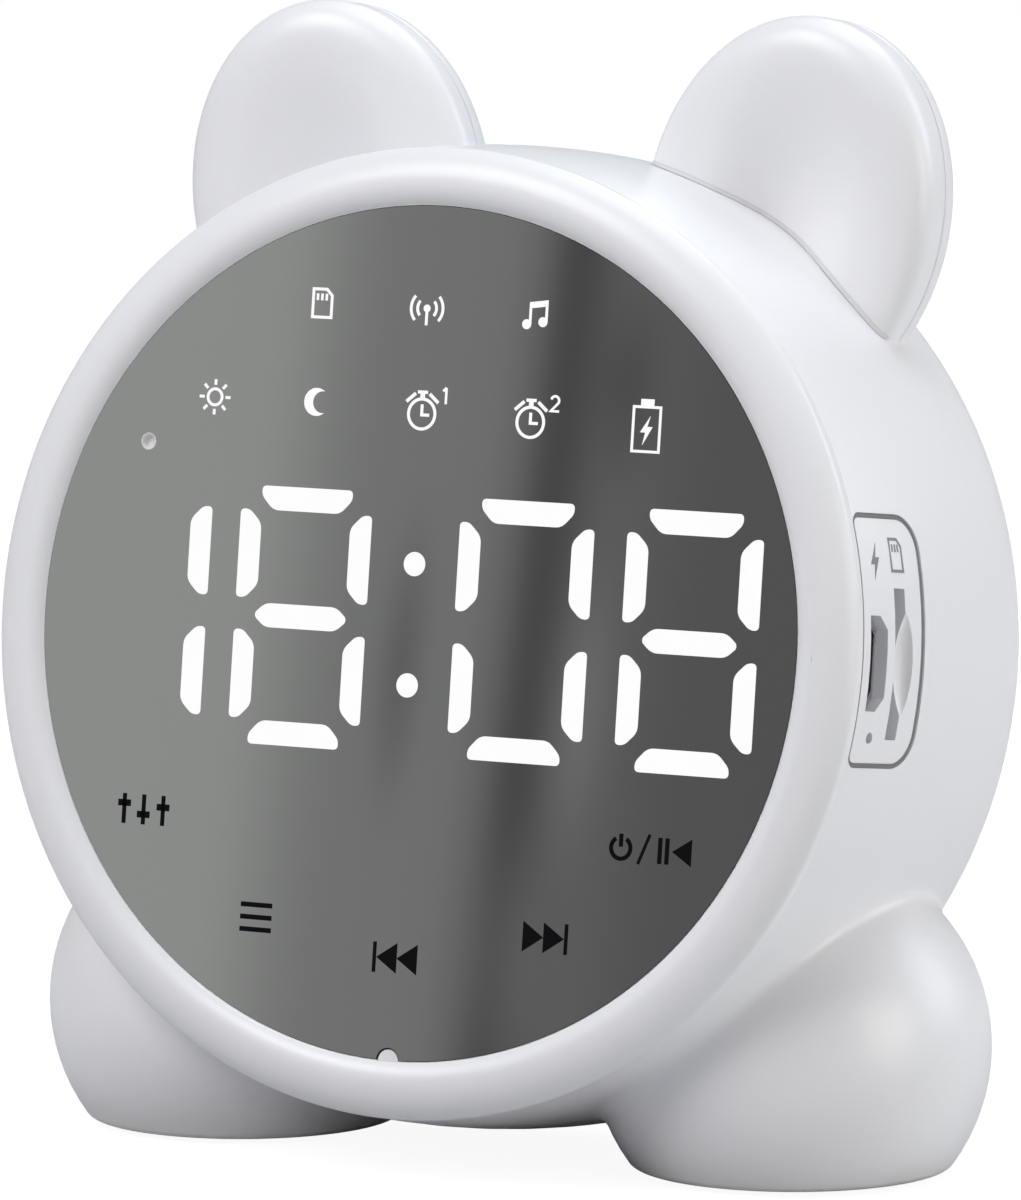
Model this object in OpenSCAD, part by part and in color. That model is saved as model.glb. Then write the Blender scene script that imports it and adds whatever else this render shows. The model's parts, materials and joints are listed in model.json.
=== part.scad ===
// Kids alarm clock with a night light, shaped as a bear.
// Millimetres, +Z up, front facing -Y. The origin is on the floor under the middle
// of the clock's outline. The body leans back on two ball feet, so everything that is
// square to the round face is built in the face frame: X to the right, Y into the
// body, Z up the face, with its origin at the centre of the mirror's front surface.

/* [Body] */
// Backward lean of the face, in degrees
tilt = 7.4; // [0:0.1:12]
// Width of the white border between the mirror and the outside of the body
border_w = 6.3; // [6.1:0.1:8]
// Depth at which the body is widest
body_belly_y = 21; // [18:0.5:24]
// Radius of the gentle bulge along the body's side
body_bulge_r = 150; // [100:5:250]
// Radius of the rounding between the side and the back
back_round_r = 8.5; // [6:0.5:10]
// Depth at which that rounding starts
back_round_y = 30.3; // [28:0.1:32]
// Radius of the shallow dome of the back
back_dome_r = 300; // [200:10:400]
// Depth of the front edge of the housing, behind the mirror's face
housing_front = 2.3; // [2.1:0.1:2.6]
// Depth of the plane where the front and rear housings meet
parting_y = 24.4; // [23.6:0.1:25]
// Wall thickness of both housings
wall = 2; // [1.6:0.1:2.2]
// Height of the locating lip at the parting plane
lip_h = 1.2; // [0.8:0.1:2]

/* [Ears] */
// Distance of an ear's centre outside the body's side
ear_out = 4.7; // [3:0.1:6]
// Angle of an ear above the horizontal, in degrees
ear_angle = 60.5; // [56:0.5:64]
// Radius of an ear
ear_r = 14.5; // [13:0.05:16]
// Depth of an ear's front crest
ear_front = 19; // [18:0.1:20]
// Depth of an ear's back
ear_back = 29.1; // [28:0.1:31]
// Radius of the rounding along an ear's rim
ear_rim_r = 3; // [2.4:0.1:3.4]
// Depth of the dish in an ear's front
ear_dish = 3.4; // [2:0.1:4]
// Distance from the rim to the floor of the dish
ear_dish_run = 9.8; // [9:0.1:10.5]

/* [Feet] */
// Radius of a ball foot
foot_r = 17.9; // [16:0.1:19]
// Distance of a foot's centre outside the body's side
foot_out = 0.3; // [-1:0.1:2]
// Height of a foot's centre above the floor
foot_lift = 11.25; // [9:0.05:13]
// Angle of a foot below the horizontal, in degrees
foot_angle = 51; // [48:0.5:54]
// Depth of a foot's centre
foot_y = 23.5; // [22:0.1:25]
// Rounding between a ball foot and its sole
sole_edge_r = 1.2; // [0.6:0.1:1.8]
// Radius of a rubber sole pad
pad_r = 9; // [6:0.5:11]
// Thickness of a rubber sole pad
pad_t = 1.2; // [1:0.1:1.6]
// How far a pad stands below its sole
pad_proud = 0.4; // [0.2:0.1:0.8]

/* [Face] */
// Margin between the outermost digit and the mirror's edge
display_margin = 3.35; // [3.2:0.05:6]
// Thickness of the mirror panel
mirror_t = 2; // [1.5:0.1:2.2]
// Distance from the mirror's edge to the bezel's rolled crest
crest_w = 2; // [1.8:0.1:2.2]
// How far the crest stands in front of the mirror
crest_h = 1.6; // [1:0.1:2]
// Radius of the roll outside the crest
crest_outer_r = 3.3; // [3:0.1:3.5]
// Radius of the roll inside the crest
crest_inner_r = 2.2; // [2.2:0.05:2.6]
// Width of the locating tab at the bottom of the bezel
tab_w = 2; // [1.5:0.1:3]
// Height of the locating tab
tab_h = 1.1; // [0.8:0.1:1.2]

/* [Display] */
// Height of a digit
digit_h = 23; // [18:0.1:24]
// Width of a digit
digit_w = 13.3; // [10:0.1:14]
// Distance between the digits of a pair
digit_pitch = 16.5; // [15.5:0.1:17]
// Distance from the colon to the digits beside it
colon_reach = 11.15; // [10:0.05:12]
// Width of a segment
segment_w = 2.1; // [1.5:0.05:2.4]
// Height of the digits' middle above the mirror's centre
digit_z = 0.74; // [-2:0.01:3]
// Sideways place of the colon
digit_x = -0.35; // [-1:0.05:1]
// Thickness of the light box that parts the segments
light_box_t = 2.7; // [2.4:0.1:2.8]
// Thickness of the main board
board_t = 1; // [0.8:0.1:1.1]

/* [Side ports] */
// Depth of the middle of the charging socket
usb_y = 5.15; // [5.1:0.05:5.3]
// Depth of the middle of the memory card slot
card_y = 8.65; // [8.5:0.05:8.8]
// Width of the charging opening
usb_open_w = 8.35; // [7.8:0.05:9]
// Depth of the charging opening
usb_open_h = 2.75; // [2.65:0.05:2.85]
// Width of the card slot
card_open_w = 13.25; // [12.6:0.05:14]
// Depth of the card slot
card_open_h = 1.8; // [1.5:0.1:2.2]
// Width of the outline groove of the port panel
groove_w = 0.45; // [0.3:0.05:0.6]
// Depth of that groove
groove_sink = 0.9; // [0.4:0.1:1.2]

/* [Inside] */
// Length of the battery
battery_w = 50; // [40:0.5:54]
// Depth of the battery
battery_d = 7; // [5:0.5:8]
// Height of the battery
battery_h = 34; // [26:0.5:36]
// Side of the speaker's square frame
speaker_w = 40; // [38:0.5:41]
// Overall depth of the speaker
speaker_d = 17; // [16:0.5:18]
// Distance of a speaker screw from both centre lines
speaker_hole = 17.2; // [16.8:0.1:17.6]
// Travel of the cone to each side of rest
cone_travel = 1; // [0.5:0.1:1.2]
// Radius of a grille hole
grille_hole_r = 1.1; // [0.8:0.05:1.3]
// Distance between the rings of grille holes
grille_pitch = 4.4; // [4:0.1:4.6]
// Number of rings round the middle hole
grille_rings = 3; // [2:1:3]

/* [Hidden] */
$fn = 96;
fine = 256;   // facets of the large circles, where a preview needs them
far = 80;     // reaches past the whole clock
eps = 0.01;   // overlap of shapes that are joined
clear = 0.15; // clearance round a piece that drops into a seat

white = [0.95, 0.95, 0.97];
shade = [0.32, 0.33, 0.33];

// The display sets the mirror, the mirror the body, and the body what stands on it.
mirror_r = colon_reach + digit_pitch + digit_w / 2 + abs(digit_x) + display_margin;
crest_r = mirror_r + crest_w;
body_r = mirror_r + border_w;
ear_reach = body_r + ear_out;
foot_reach = body_r + foot_out;
face_height = foot_lift + foot_reach * sin(foot_angle) * cos(tilt) + foot_y * sin(tilt);

// Front edge of the body to the rear of the dome, measured level, sets the origin.
front_reach = -crest_r * sin(tilt) + (crest_outer_r - crest_h) * cos(tilt) - crest_outer_r;
side_c = [body_r - body_bulge_r, body_belly_y];
round_span = body_bulge_r - back_round_r;
round_c = [side_c.x + sqrt(pow(round_span, 2) - pow(back_round_y - side_c.y, 2)), back_round_y];
dome_span = back_dome_r - back_round_r;
dome_c = [0, round_c.y - sqrt(pow(dome_span, 2) - pow(round_c.x, 2))];
rear_reach = round_c.x * sin(tilt) + round_c.y * cos(tilt) + back_round_r;
origin_y = -(front_reach + rear_reach) / 2;
// Inside of the housing's side at a depth, and of its back at a distance from the axis.
function side_in(y) = side_c.x + sqrt(pow(body_bulge_r - wall, 2) - pow(y - side_c.y, 2));
function back_in(r) = dome_c.y + sqrt(pow(back_dome_r - wall, 2) - pow(r, 2));

// The two frames.
module face_frame() {
    translate([0, origin_y, face_height]) rotate([-tilt, 0, 0]) children();
}
function to_world(p) = [
    p.x,
    p.y * cos(tilt) + p.z * sin(tilt) + origin_y,
    -p.y * sin(tilt) + p.z * cos(tilt) + face_height,
];

// Shapes about the face's axis: a revolve, a plate between two depths, a rod along the
// depth and a pair mirrored left and right.
module spin() { rotate([-90, 0, 0]) rotate_extrude() children(); }
module plate(y0, y1) {
    translate([0, y1, 0]) rotate([90, 0, 0]) linear_extrude(y1 - y0) children();
}
module rod(p, r, y0, y1) {
    translate([p.x, y0, p.y]) rotate([-90, 0, 0]) cylinder(r = r, h = y1 - y0);
}
module slab(y0, y1) { translate([-far, y0, -far]) cube([2 * far, y1 - y0, 2 * far]); }
module pair() { children(); mirror([1, 0, 0]) children(); }
function polar(r, a) = [r * cos(a), r * sin(a)];
function unit(v) = v / norm(v);

// Round body, drawn w inside its outer surface. Its side is one large arc, the back is
// another, and a third rounds the corner between them.
module barrel(w, y0) {
    side_dir = unit(round_c - side_c);
    dome_dir = unit(round_c - dome_c);
    split_y = side_c.y - side_c.x * side_dir.y / side_dir.x;
    side_end = round_c + far * side_dir;
    dome_end = round_c + far * dome_dir;
    spin() intersection() {
        union() {
            intersection() {
                translate(side_c) circle(body_bulge_r - w, $fn = fine);
                polygon([[0, y0], [far, y0], side_end, [0, split_y]]);
            }
            intersection() {
                translate(dome_c) circle(back_dome_r - w, $fn = fine);
                polygon([[0, split_y], round_c, dome_end, [0, far]]);
            }
            translate(round_c) circle(back_round_r - w);
        }
        translate([0, y0]) square([far, far]);
    }
}

// Ear: a round disc whose rim rolls over a crest into a shallow dish, drawn w inside its
// surface. The crest and the dish are two arcs that touch where their slopes agree.
ear_c = polar(ear_reach, ear_angle);
dish_w = ear_dish_run - ear_rim_r;
dish_r = (pow(dish_w, 2) + pow(ear_dish, 2)) / (2 * ear_dish) - ear_rim_r;
module ear(w) {
    crest = [ear_r - ear_rim_r, ear_front + ear_rim_r];
    heel = [crest.x, ear_back - ear_rim_r];
    scoop = [ear_r - ear_dish_run, ear_front + ear_dish - dish_r];
    brow = crest + (ear_rim_r - w) * unit(scoop - crest);
    floor_y = ear_front + ear_dish + w;
    translate([ear_c.x, 0, ear_c.y]) spin() {
        difference() {
            polygon([
                [0, floor_y], [scoop.x, floor_y], brow, crest, heel,
                [heel.x, ear_back - w], [0, ear_back - w],
            ]);
            translate(scoop) circle(dish_r + w);
        }
        translate(crest) circle(ear_rim_r - w);
        translate(heel) circle(ear_rim_r - w);
        translate(crest) square([ear_rim_r - w, heel.y - crest.y]);
    }
}

// Ball foot with a flat sole, upright in the world frame, drawn w inside its surface.
foot_c = to_world([foot_reach * cos(foot_angle), foot_y, -foot_reach * sin(foot_angle)]);
sole_z = pad_proud;
module foot(w) {
    r = foot_r - w;
    z0 = sole_z + w;
    edge_z = z0 + sole_edge_r;
    edge_x = sqrt(pow(r - sole_edge_r, 2) - pow(foot_c.z - edge_z, 2));
    edge_dir = unit([edge_x, edge_z - foot_c.z]);
    translate([foot_c.x, foot_c.y, 0]) rotate_extrude() {
        if (w > 0) intersection() {
            translate([0, foot_c.z]) circle(r);
            translate([0, z0]) square([far, far]);
        }
        else {
            intersection() {
                translate([0, foot_c.z]) circle(r);
                polygon([[0, foot_c.z], [0, foot_c.z] + far * edge_dir, [far, far], [0, far]]);
            }
            polygon([[0, z0], [edge_x, z0], [edge_x, edge_z], [0, foot_c.z]]);
            translate([edge_x, edge_z]) circle(sole_edge_r);
        }
    }
}

// The whole outer form, drawn w inside its surface.
module form(w, y0 = housing_front) {
    face_frame() {
        barrel(w, y0);
        pair() ear(w);
    }
    pair() foot(w);
}
// Wall between two depths inside the surface, cut to a range of depth.
module skin(w0, w1, y0, y1) {
    intersection() {
        difference() {
            form(w0, y0);
            form(w1, y0 - 1);
        }
        face_frame() slab(y0, y1);
    }
}

// Depths of the layers behind the mirror, from the mirror's back to the board's back.
mask_t = 0.2;
mask_y = mirror_t;
box_y = mask_y + mask_t;
board_y = box_y + light_box_t;
inner_y = board_y + board_t;

// Bezel: a flange that carries the mirror, a spigot inside the housing and four posts.
bezel_end = 2;
flange_r = mirror_r - 1.4;
flange_y = 3.7;
spigot_r = side_in(housing_front) - 0.2;
spigot_t = 1.8;
spigot_end = 6;
port_gap = 15;     // half height of the spigot's gap beside the ports
post_reach = flange_r + 0.7;
post_r = 1.5;
mask_r = flange_r - 0.4;
box_r = post_reach - post_r - 0.1;
board_r = spigot_r - spigot_t - 0.3;
post_pilot_r = 0.7;
post_angles = [45, 135, 225, 315];
catch_angles = [60, 120, 180, 240, 300];
catch_y = 4.3;
catch_w = 4;
catch_r = spigot_r - 0.7;

// Five catches of the housing, or the windows in the spigot that they snap into.
module catches(r0, r1, grow) {
    for (a = catch_angles) rotate([0, -a, 0])
        translate([r0, catch_y - grow, -catch_w / 2 - grow])
            cube([r1 - r0, 1 + 2 * grow, catch_w + 2 * grow]);
}
module tab(grow) {
    r = tab_w / 2 + grow;
    top = -mirror_r + tab_h - tab_w / 2;
    translate([0, top]) circle(r);
    translate([-r, -mirror_r - 1]) square([2 * r, top + mirror_r + 1]);
}
module bezel_roll() {
    outer_c = [crest_r, crest_outer_r - crest_h];
    inner_c = [crest_r, crest_inner_r - crest_h];
    intersection() {
        translate([mirror_r, -crest_h]) square([far, crest_h + bezel_end]);
        union() {
            translate(outer_c) circle(crest_outer_r);
            translate([0, -crest_h]) square([crest_r, far]);
        }
        union() {
            translate(inner_c) circle(crest_inner_r);
            translate([crest_r, -crest_h]) square([far, far]);
            translate([0, inner_c.y]) square([far, far]);
        }
    }
}
module front_bezel() {
    color(white) face_frame() difference() {
        union() {
            spin() bezel_roll();
            spin() translate([mirror_r, bezel_end - 1])
                square([spigot_r - mirror_r, flange_y - bezel_end + 1]);
            spin() translate([flange_r, box_y]) square([spigot_r - flange_r, flange_y - box_y]);
            spin() translate([spigot_r - spigot_t, bezel_end - 1])
                square([spigot_t, spigot_end - bezel_end + 1]);
            for (a = post_angles) rod(polar(post_reach, a), post_r, flange_y - 1, board_y);
            plate(0.1, box_y + eps) intersection() {
                tab(0);
                circle(mirror_r + 1);
            }
        }
        catches(spigot_r - 2 * spigot_t, far, clear);
        for (a = post_angles) rod(polar(post_reach, a), post_pilot_r, flange_y - 0.7, board_y + 1);
        translate([spigot_r - 2 * spigot_t, flange_y, -port_gap])
            cube([far, far, 2 * port_gap]);
    }
}

// Mirror, printed mask and light box share the places of the digits and the pictograms.
mic_at = polar(box_r - 3.5, 151);
mic_hole_r = 0.65;
icon_r = 2.4;
icon_pitch = 10.85;
icon_z = digit_z + digit_h / 2 + 7.5;
icon_top_z = icon_z + 8.9;
icon_at = [
    for (n = [-1:1]) [n * icon_pitch - 0.5, icon_top_z],
    for (n = [-2:2]) [n * icon_pitch, icon_z],
];
touch_at = [for (n = [-2:2]) polar(box_r - 5.1, 270 + 28 * n)];
seg_x = (digit_w - segment_w) / 2;
seg_z = (digit_h - segment_w) / 2;
seg_gap = 0.4;
seg_flat = digit_w - 2 * segment_w;
seg_tall = seg_z - segment_w - seg_gap;
digit_at = [for (side = [-1, 1], out = [0, 1])
    [digit_x + side * (colon_reach + out * digit_pitch), digit_z]];
// Each cell is [x, z, length, turn] within one digit.
cells = [
    for (row = [-1, 0, 1]) [0, row * seg_z, seg_flat, 0],
    for (side = [-1, 1], row = [-1, 1]) [side * seg_x, row * seg_z / 2, seg_tall, 90],
];
module bar(length, w) {
    point = w * 0.3;
    polygon([
        [-length / 2, -w / 2 + point], [-length / 2 + point, -w / 2],
        [length / 2 - point, -w / 2], [length / 2, -w / 2 + point],
        [length / 2, w / 2 - point], [length / 2 - point, w / 2],
        [-length / 2 + point, w / 2], [-length / 2, w / 2 - point],
    ]);
}
module digit_cells(grow) {
    for (at = digit_at, cell = cells)
        translate(at + [cell.x, cell.y]) rotate(cell[3])
            bar(cell[2] + 2 * grow, segment_w + 2 * grow);
    for (side = [-1, 1])
        translate([digit_x, digit_z + side * seg_z / 2]) circle(segment_w / 2 + grow);
}
module mirror_panel() {
    color(shade) face_frame() plate(0, mirror_t) difference() {
        circle(mirror_r - clear, $fn = fine);
        tab(clear);
        translate(mic_at) circle(mic_hole_r);
    }
}
module mirror_tape() {
    color("dimgray") face_frame() plate(mask_y, box_y) difference() {
        circle(mirror_r - 2 * clear);
        circle(flange_r);
        translate([-tab_w, -mirror_r]) square([2 * tab_w, mirror_r - flange_r + 1]);
    }
}
module display_mask() {
    color("black") face_frame() plate(mask_y, box_y) difference() {
        circle(mask_r);
        digit_cells(0);
        for (at = icon_at) translate(at) circle(icon_r);
        translate(mic_at) circle(mic_hole_r);
    }
}
mic_r = 2;
spring_r = 2.5;
module light_box() {
    color("white") face_frame() plate(box_y, board_y) difference() {
        circle(box_r);
        digit_cells(0.1);
        for (at = icon_at) translate(at) circle(icon_r + 0.1);
        for (at = touch_at) translate(at) circle(spring_r + clear);
        translate(mic_at) circle(mic_r + clear);
    }
}
diffuser_t = 0.8;
module segment_diffusers() {
    color("white") face_frame() plate(box_y, box_y + diffuser_t) {
        digit_cells(0);
        for (at = icon_at) translate(at) circle(icon_r);
    }
}
led = [1.6, 0.7, 0.8];
module led_at(p, y) { translate([p.x - led.x / 2, y - led.y, p.y - led.z / 2]) cube(led); }
module display_leds() {
    color("khaki") face_frame() {
        for (at = digit_at, cell = cells) led_at(at + [cell.x, cell.y], board_y);
        for (side = [-1, 1]) led_at([digit_x, digit_z + side * seg_z / 2], board_y);
        for (at = icon_at) led_at(at, board_y);
    }
}
module touch_springs() {
    color("gainsboro") face_frame() for (at = touch_at) difference() {
        rod(at, spring_r, box_y, board_y);
        rod(at, spring_r - 0.5, box_y - 1, board_y + 1);
    }
}
module microphone() {
    color("silver") face_frame() difference() {
        rod(mic_at, mic_r, box_y + clear, board_y);
        rod(mic_at, mic_hole_r, 0, box_y + 0.5);
    }
}

// Main board on the bezel's posts, with a gap for the charging socket.
port_cut_x = body_r - 8.4;
port_cut_z = 13.5;
screw_shank_r = 0.65;
screw_head_r = 1.4;
module main_board() {
    color("darkgreen") face_frame() plate(board_y, inner_y) difference() {
        circle(board_r);
        translate([port_cut_x, -port_cut_z]) square([far, 2 * port_cut_z]);
        for (a = post_angles) translate(polar(post_reach, a)) circle(screw_shank_r + 0.2);
    }
}
module board_screws() {
    color("silver") face_frame() for (a = post_angles) {
        rod(polar(post_reach, a), screw_shank_r, flange_y - 0.4, inner_y + eps);
        rod(polar(post_reach, a), screw_head_r, inner_y, inner_y + 1);
    }
}
// The battery lies behind the main board, beside the port board.
port_pcb_x = body_r - 18.3;
light_plug = [24.5, post_reach * sin(45) - 5.4];
battery_foam = 1;
battery_x = port_pcb_x - 6 - battery_w;
battery_top = light_plug.y - 7;
battery_z = battery_top - battery_h;

// Chips and plugs on the back of the main board: each is [x, z, width, height, depth].
plug_h = 4.5;
chip_z = battery_z - 7;
speaker_plug = [0, battery_top + 8];
battery_plug = [battery_x + battery_w + 5, battery_top - 1];
chips = [[-3, chip_z, 7, 7, 1.2], [8.5, chip_z, 5, 4, 1.5], [-13, chip_z, 4, 5, 0.9]];
plugs = [
    [light_plug.x, light_plug.y, 5, 6, plug_h], [-light_plug.x, light_plug.y, 5, 6, plug_h],
    [speaker_plug.x, speaker_plug.y, 6, 5, plug_h], [battery_plug.x, battery_plug.y, 5, 5, plug_h],
];
module blocks(list) {
    for (c = list) translate([c.x - c[2] / 2, inner_y, c.y - c[3] / 2]) cube([c[2], c[4], c[3]]);
}
module board_chips() { color("black") face_frame() blocks(chips); }
module board_connectors() { color("ivory") face_frame() blocks(plugs); }

// Ports, in a row of their own at the depth of the charging socket.
module port_frame() { translate([0, usb_y, 0]) children(); }
// Extrudes a flat shape, drawn as [depth, height], between two places along X.
module across(x0, x1) {
    translate([x0, 0, 0]) rotate([90, 0, 90]) linear_extrude(x1 - x0) children();
}
slot_y = card_y - usb_y;
port_x = body_r - 3.5;          // reach of the parts behind the ports
panel_y = housing_front - 0.05;
panel_z = -9.15;
panel_w = 10.5;
panel_h = 22.2;
panel_front_r = 1.2;
panel_rear_r = 3.2;
panel_sink = 0.15;
reset_z = -6.5;
reset_hole_r = 0.5;
relief_len = 10.7;
relief_bulge = 1.35;
relief_out = 0.4;     // how far the relief's middle line lies inside the body's widest radius
module rounded(w, h, r) {
    translate([r, 0]) square([w - 2 * r, h]);
    translate([0, r]) square([w, h - 2 * r]);
    for (x = [r, w - r], y = [r, h - r]) translate([x, y]) circle(r);
}
module panel(inset) {
    h = panel_h - 2 * inset;
    w = panel_w - 2 * inset;
    front_r = panel_front_r - inset;
    rear_r = panel_rear_r - inset;
    translate([panel_y + inset, panel_z + inset]) {
        translate([0, front_r]) square([w / 2, h - 2 * front_r]);
        translate([front_r, 0]) square([w - front_r - rear_r, h]);
        translate([w / 2, rear_r]) square([w / 2, h - 2 * rear_r]);
        for (z = [front_r, h - front_r]) translate([front_r, z]) circle(front_r);
        for (z = [rear_r, h - rear_r]) translate([w - rear_r, z]) circle(rear_r);
    }
}
// What lies outside a skin drawn w inside the barrel, over a flat shape on its +X side.
module sunk(w) {
    intersection() {
        difference() {
            barrel(-1, 0);
            barrel(w, -1);
        }
        across(20, far) children();
    }
}
module port_cuts() {
    corner = 1.2;
    half_h = usb_open_h / 2;
    half_w = usb_open_w / 2;
    relief_c = (pow(relief_len / 2, 2) - pow(relief_bulge, 2)) / (2 * relief_bulge);
    sunk(panel_sink) panel(0);
    sunk(groove_sink) difference() {
        panel(0);
        panel(groove_w);
    }
    port_frame() {
        across(30, far) {
            polygon([
                [-half_h, -half_w], [half_h - corner, -half_w], [half_h, corner - half_w],
                [half_h, half_w - corner], [half_h - corner, half_w], [-half_h, half_w],
            ]);
            translate([slot_y - card_open_h / 2, -card_open_w / 2])
                square([card_open_h, card_open_w]);
            translate([0, reset_z]) circle(reset_hole_r);
        }
        translate([body_r - relief_out, slot_y + card_open_h / 2, 0]) rotate_extrude()
            intersection() {
                translate([-relief_c, 0]) circle(relief_c + relief_bulge);
                translate([0, -relief_len]) square([far, 2 * relief_len]);
            }
    }
}
port_pcb_y = 1.3;
port_pcb_z = -12.5;
port_pcb_w = 13.4;
port_pcb_h = 20.5;
port_pcb_t = 1;
module port_board() {
    color("darkgreen") face_frame() port_frame()
        translate([port_pcb_x, port_pcb_y, port_pcb_z]) cube([port_pcb_w, port_pcb_t, port_pcb_h]);
}
module port_header() {
    color("black") face_frame() translate([port_pcb_x + 2, inner_y, port_pcb_z + 1.5])
        cube([5, usb_y + port_pcb_y - inner_y, port_pcb_h / 2]);
}
usb_shell_w = 7.5;
usb_shell_h = 2.6;
usb_shell_t = 0.3;
module usb_outline(inset) {
    w = usb_shell_w / 2 - inset;
    h = usb_shell_h / 2 - inset;
    polygon([[-h, -w], [0, -w], [h, 1 - w], [h, w - 1], [0, w], [-h, w]]);
}
usb_x1 = body_r - 2.1;
usb_x0 = usb_x1 - 5.6;
module charging_socket() {
    color("silver") face_frame() port_frame() difference() {
        across(usb_x0, usb_x1) usb_outline(0);
        across(usb_x0 + usb_shell_t, far) usb_outline(usb_shell_t);
    }
}
module charging_tongue() {
    color("black") face_frame() port_frame() {
        across(usb_x0 + usb_shell_t, usb_x0 + 1.5) usb_outline(usb_shell_t);
        translate([usb_x0 + 1, -0.3, -1.9]) cube([usb_x1 - usb_x0 - 1.8, 0.6, 3.8]);
    }
}
card_box_y = port_pcb_y + port_pcb_t;
card_box_w = 14.6;
card_pass_w = 11.4;
card_pass_y = card_box_y + 0.8;
card_pass_h = 1.2;
card_box_x = port_x - 13.8;
card_travel = 1.2;
module card_socket() {
    color("silver") face_frame() port_frame() difference() {
        translate([card_box_x, card_box_y, -card_box_w / 2])
            cube([port_x - card_box_x, 2.4, card_box_w]);
        translate([card_box_x + 1, card_pass_y, -card_pass_w / 2])
            cube([far, card_pass_h, card_pass_w]);
    }
}
module card_slider() {
    color("black") face_frame() port_frame()
        translate([card_box_x + 1.3 + card_travel, card_pass_y + 0.2, 0.4 - card_pass_w / 2])
            cube([2, card_pass_h - 0.4, card_pass_w - 0.8]);
}
reset_x = body_r - 7.8;
reset_body = 3;
plunger_r = 0.75;
module reset_switch() {
    color("silver") face_frame() port_frame() difference() {
        translate([reset_x, -port_pcb_y, reset_z - 2.1]) cube([reset_body, 2 * port_pcb_y, 4.2]);
        translate([reset_x + 2, 0, reset_z]) rotate([0, 90, 0]) cylinder(r = plunger_r + 0.2, h = far);
    }
}
module reset_plunger() {
    color("white") face_frame() port_frame()
        translate([reset_x + 2.4, 0, reset_z]) rotate([0, 90, 0]) cylinder(r = plunger_r, h = 1.5);
}

// Screw posts that join the housings, each tied to the wall by a web.
joint_reach = body_r - 7.8;
joint_angles = [0, 90, 180, 270];
joint_front_r = 3;
joint_rear_r = 3.6;
joint_start = inner_y + battery_foam + battery_d + 0.5;
joint_seat = 30;
joint_head_r = 2.5;
joint_shank_r = 1;
module web(y0, y1) {
    translate([joint_reach, y0, -1]) cube([body_r - wall / 2 - 0.3 - joint_reach, y1 - y0, 2]);
}
lip_w = wall / 2 + clear / 2;
module front_housing() {
    color(white) difference() {
        union() {
            skin(0, wall, housing_front, parting_y);
            skin(lip_w, wall, parting_y - lip_h, parting_y + lip_h);
            face_frame() {
                for (a = joint_angles) {
                    rod(polar(joint_reach, a), joint_front_r, joint_start, parting_y);
                    rotate([0, -a, 0]) web(joint_start, parting_y);
                }
                intersection() {
                    catches(catch_r, body_r, 0);
                    barrel(wall / 2, 0);
                }
            }
        }
        face_frame() {
            for (a = joint_angles)
                rod(polar(joint_reach, a), joint_shank_r + 0.05, joint_start + 1, parting_y + 1);
            port_cuts();
        }
        pad_seats(clear);
    }
}
rear_web_y = parting_y + lip_h + 0.4;
speaker_face = back_in(speaker_w / sqrt(2)) - 1.4;
gasket_t = 0.8;
gasket_r = [16.5, 20.5];
speaker_post_r = 2.6;
module speaker_posts() {
    for (x = [-1, 1], z = [-1, 1]) translate([x * speaker_hole, 0, z * speaker_hole]) children();
}
ear_board_y = 25.5;
ear_board_t = 1;
ear_peg_z = 4.6;
ear_peg_r = 0.9;
module in_ear() { pair() translate([ear_c.x, 0, ear_c.y]) rotate([0, 90 - ear_angle, 0]) children(); }
module rear_housing() {
    color(white) difference() {
        union() {
            skin(0, wall, parting_y, far);
            intersection() {
                face_frame() {
                    for (a = joint_angles) {
                        rod(polar(joint_reach, a), joint_rear_r, parting_y, far);
                        rotate([0, -a, 0]) web(rear_web_y, far);
                    }
                    spin() translate([gasket_r[0], speaker_face + gasket_t])
                        square([gasket_r[1] - gasket_r[0], far]);
                    speaker_posts() rod([0, 0], speaker_post_r, speaker_face, far);
                }
                face_frame() barrel(wall / 2, 0);
            }
            face_frame() in_ear() for (z = [-1, 1]) {
                rod([0, z * ear_peg_z], 1.6, ear_board_y + ear_board_t, ear_back - wall / 2);
                rod([0, z * ear_peg_z], ear_peg_r, ear_board_y - 0.4, ear_back - wall / 2);
            }
        }
        intersection() {
            form(lip_w - clear);
            difference() {
                face_frame() slab(parting_y - lip_h, parting_y + lip_h + clear);
                form(wall + 0.2);
            }
        }
        face_frame() {
            for (a = joint_angles) {
                rod(polar(joint_reach, a), joint_shank_r + 0.3, 0, far);
                rod(polar(joint_reach, a), joint_head_r + 0.3, joint_seat, far);
            }
            speaker_posts() rod([0, 0], 0.95, speaker_face - 1, speaker_face + 2.2);
            grille();
        }
        pad_seats(clear);
    }
}
module grille() {
    for (ring = [0:grille_rings], n = [0:max(6 * ring, 1) - 1])
        rod(polar(ring * grille_pitch, n * 60 / max(ring, 1)), grille_hole_r, speaker_face, far);
}
module pad_seats(grow) {
    pair() translate([foot_c.x, foot_c.y, -grow]) cylinder(r = pad_r + grow, h = pad_t + grow);
}
module foot_pads() {
    color([0.8, 0.8, 0.82]) pair() translate([foot_c.x, foot_c.y, 0]) cylinder(r = pad_r, h = pad_t);
}
module housing_screws() {
    color("silver") face_frame() for (a = joint_angles) difference() {
        union() {
            rod(polar(joint_reach, a), joint_shank_r, joint_start + 2, joint_seat + 1);
            rod(polar(joint_reach, a), joint_head_r, joint_seat, joint_seat + 1.8);
        }
        translate([joint_reach * cos(a), joint_seat + 1, joint_reach * sin(a)])
            for (turn = [0, 90]) rotate([0, turn, 0])
                translate([-1.5, 0, -0.3]) cube([3, 3, 0.6]);
    }
}

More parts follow.
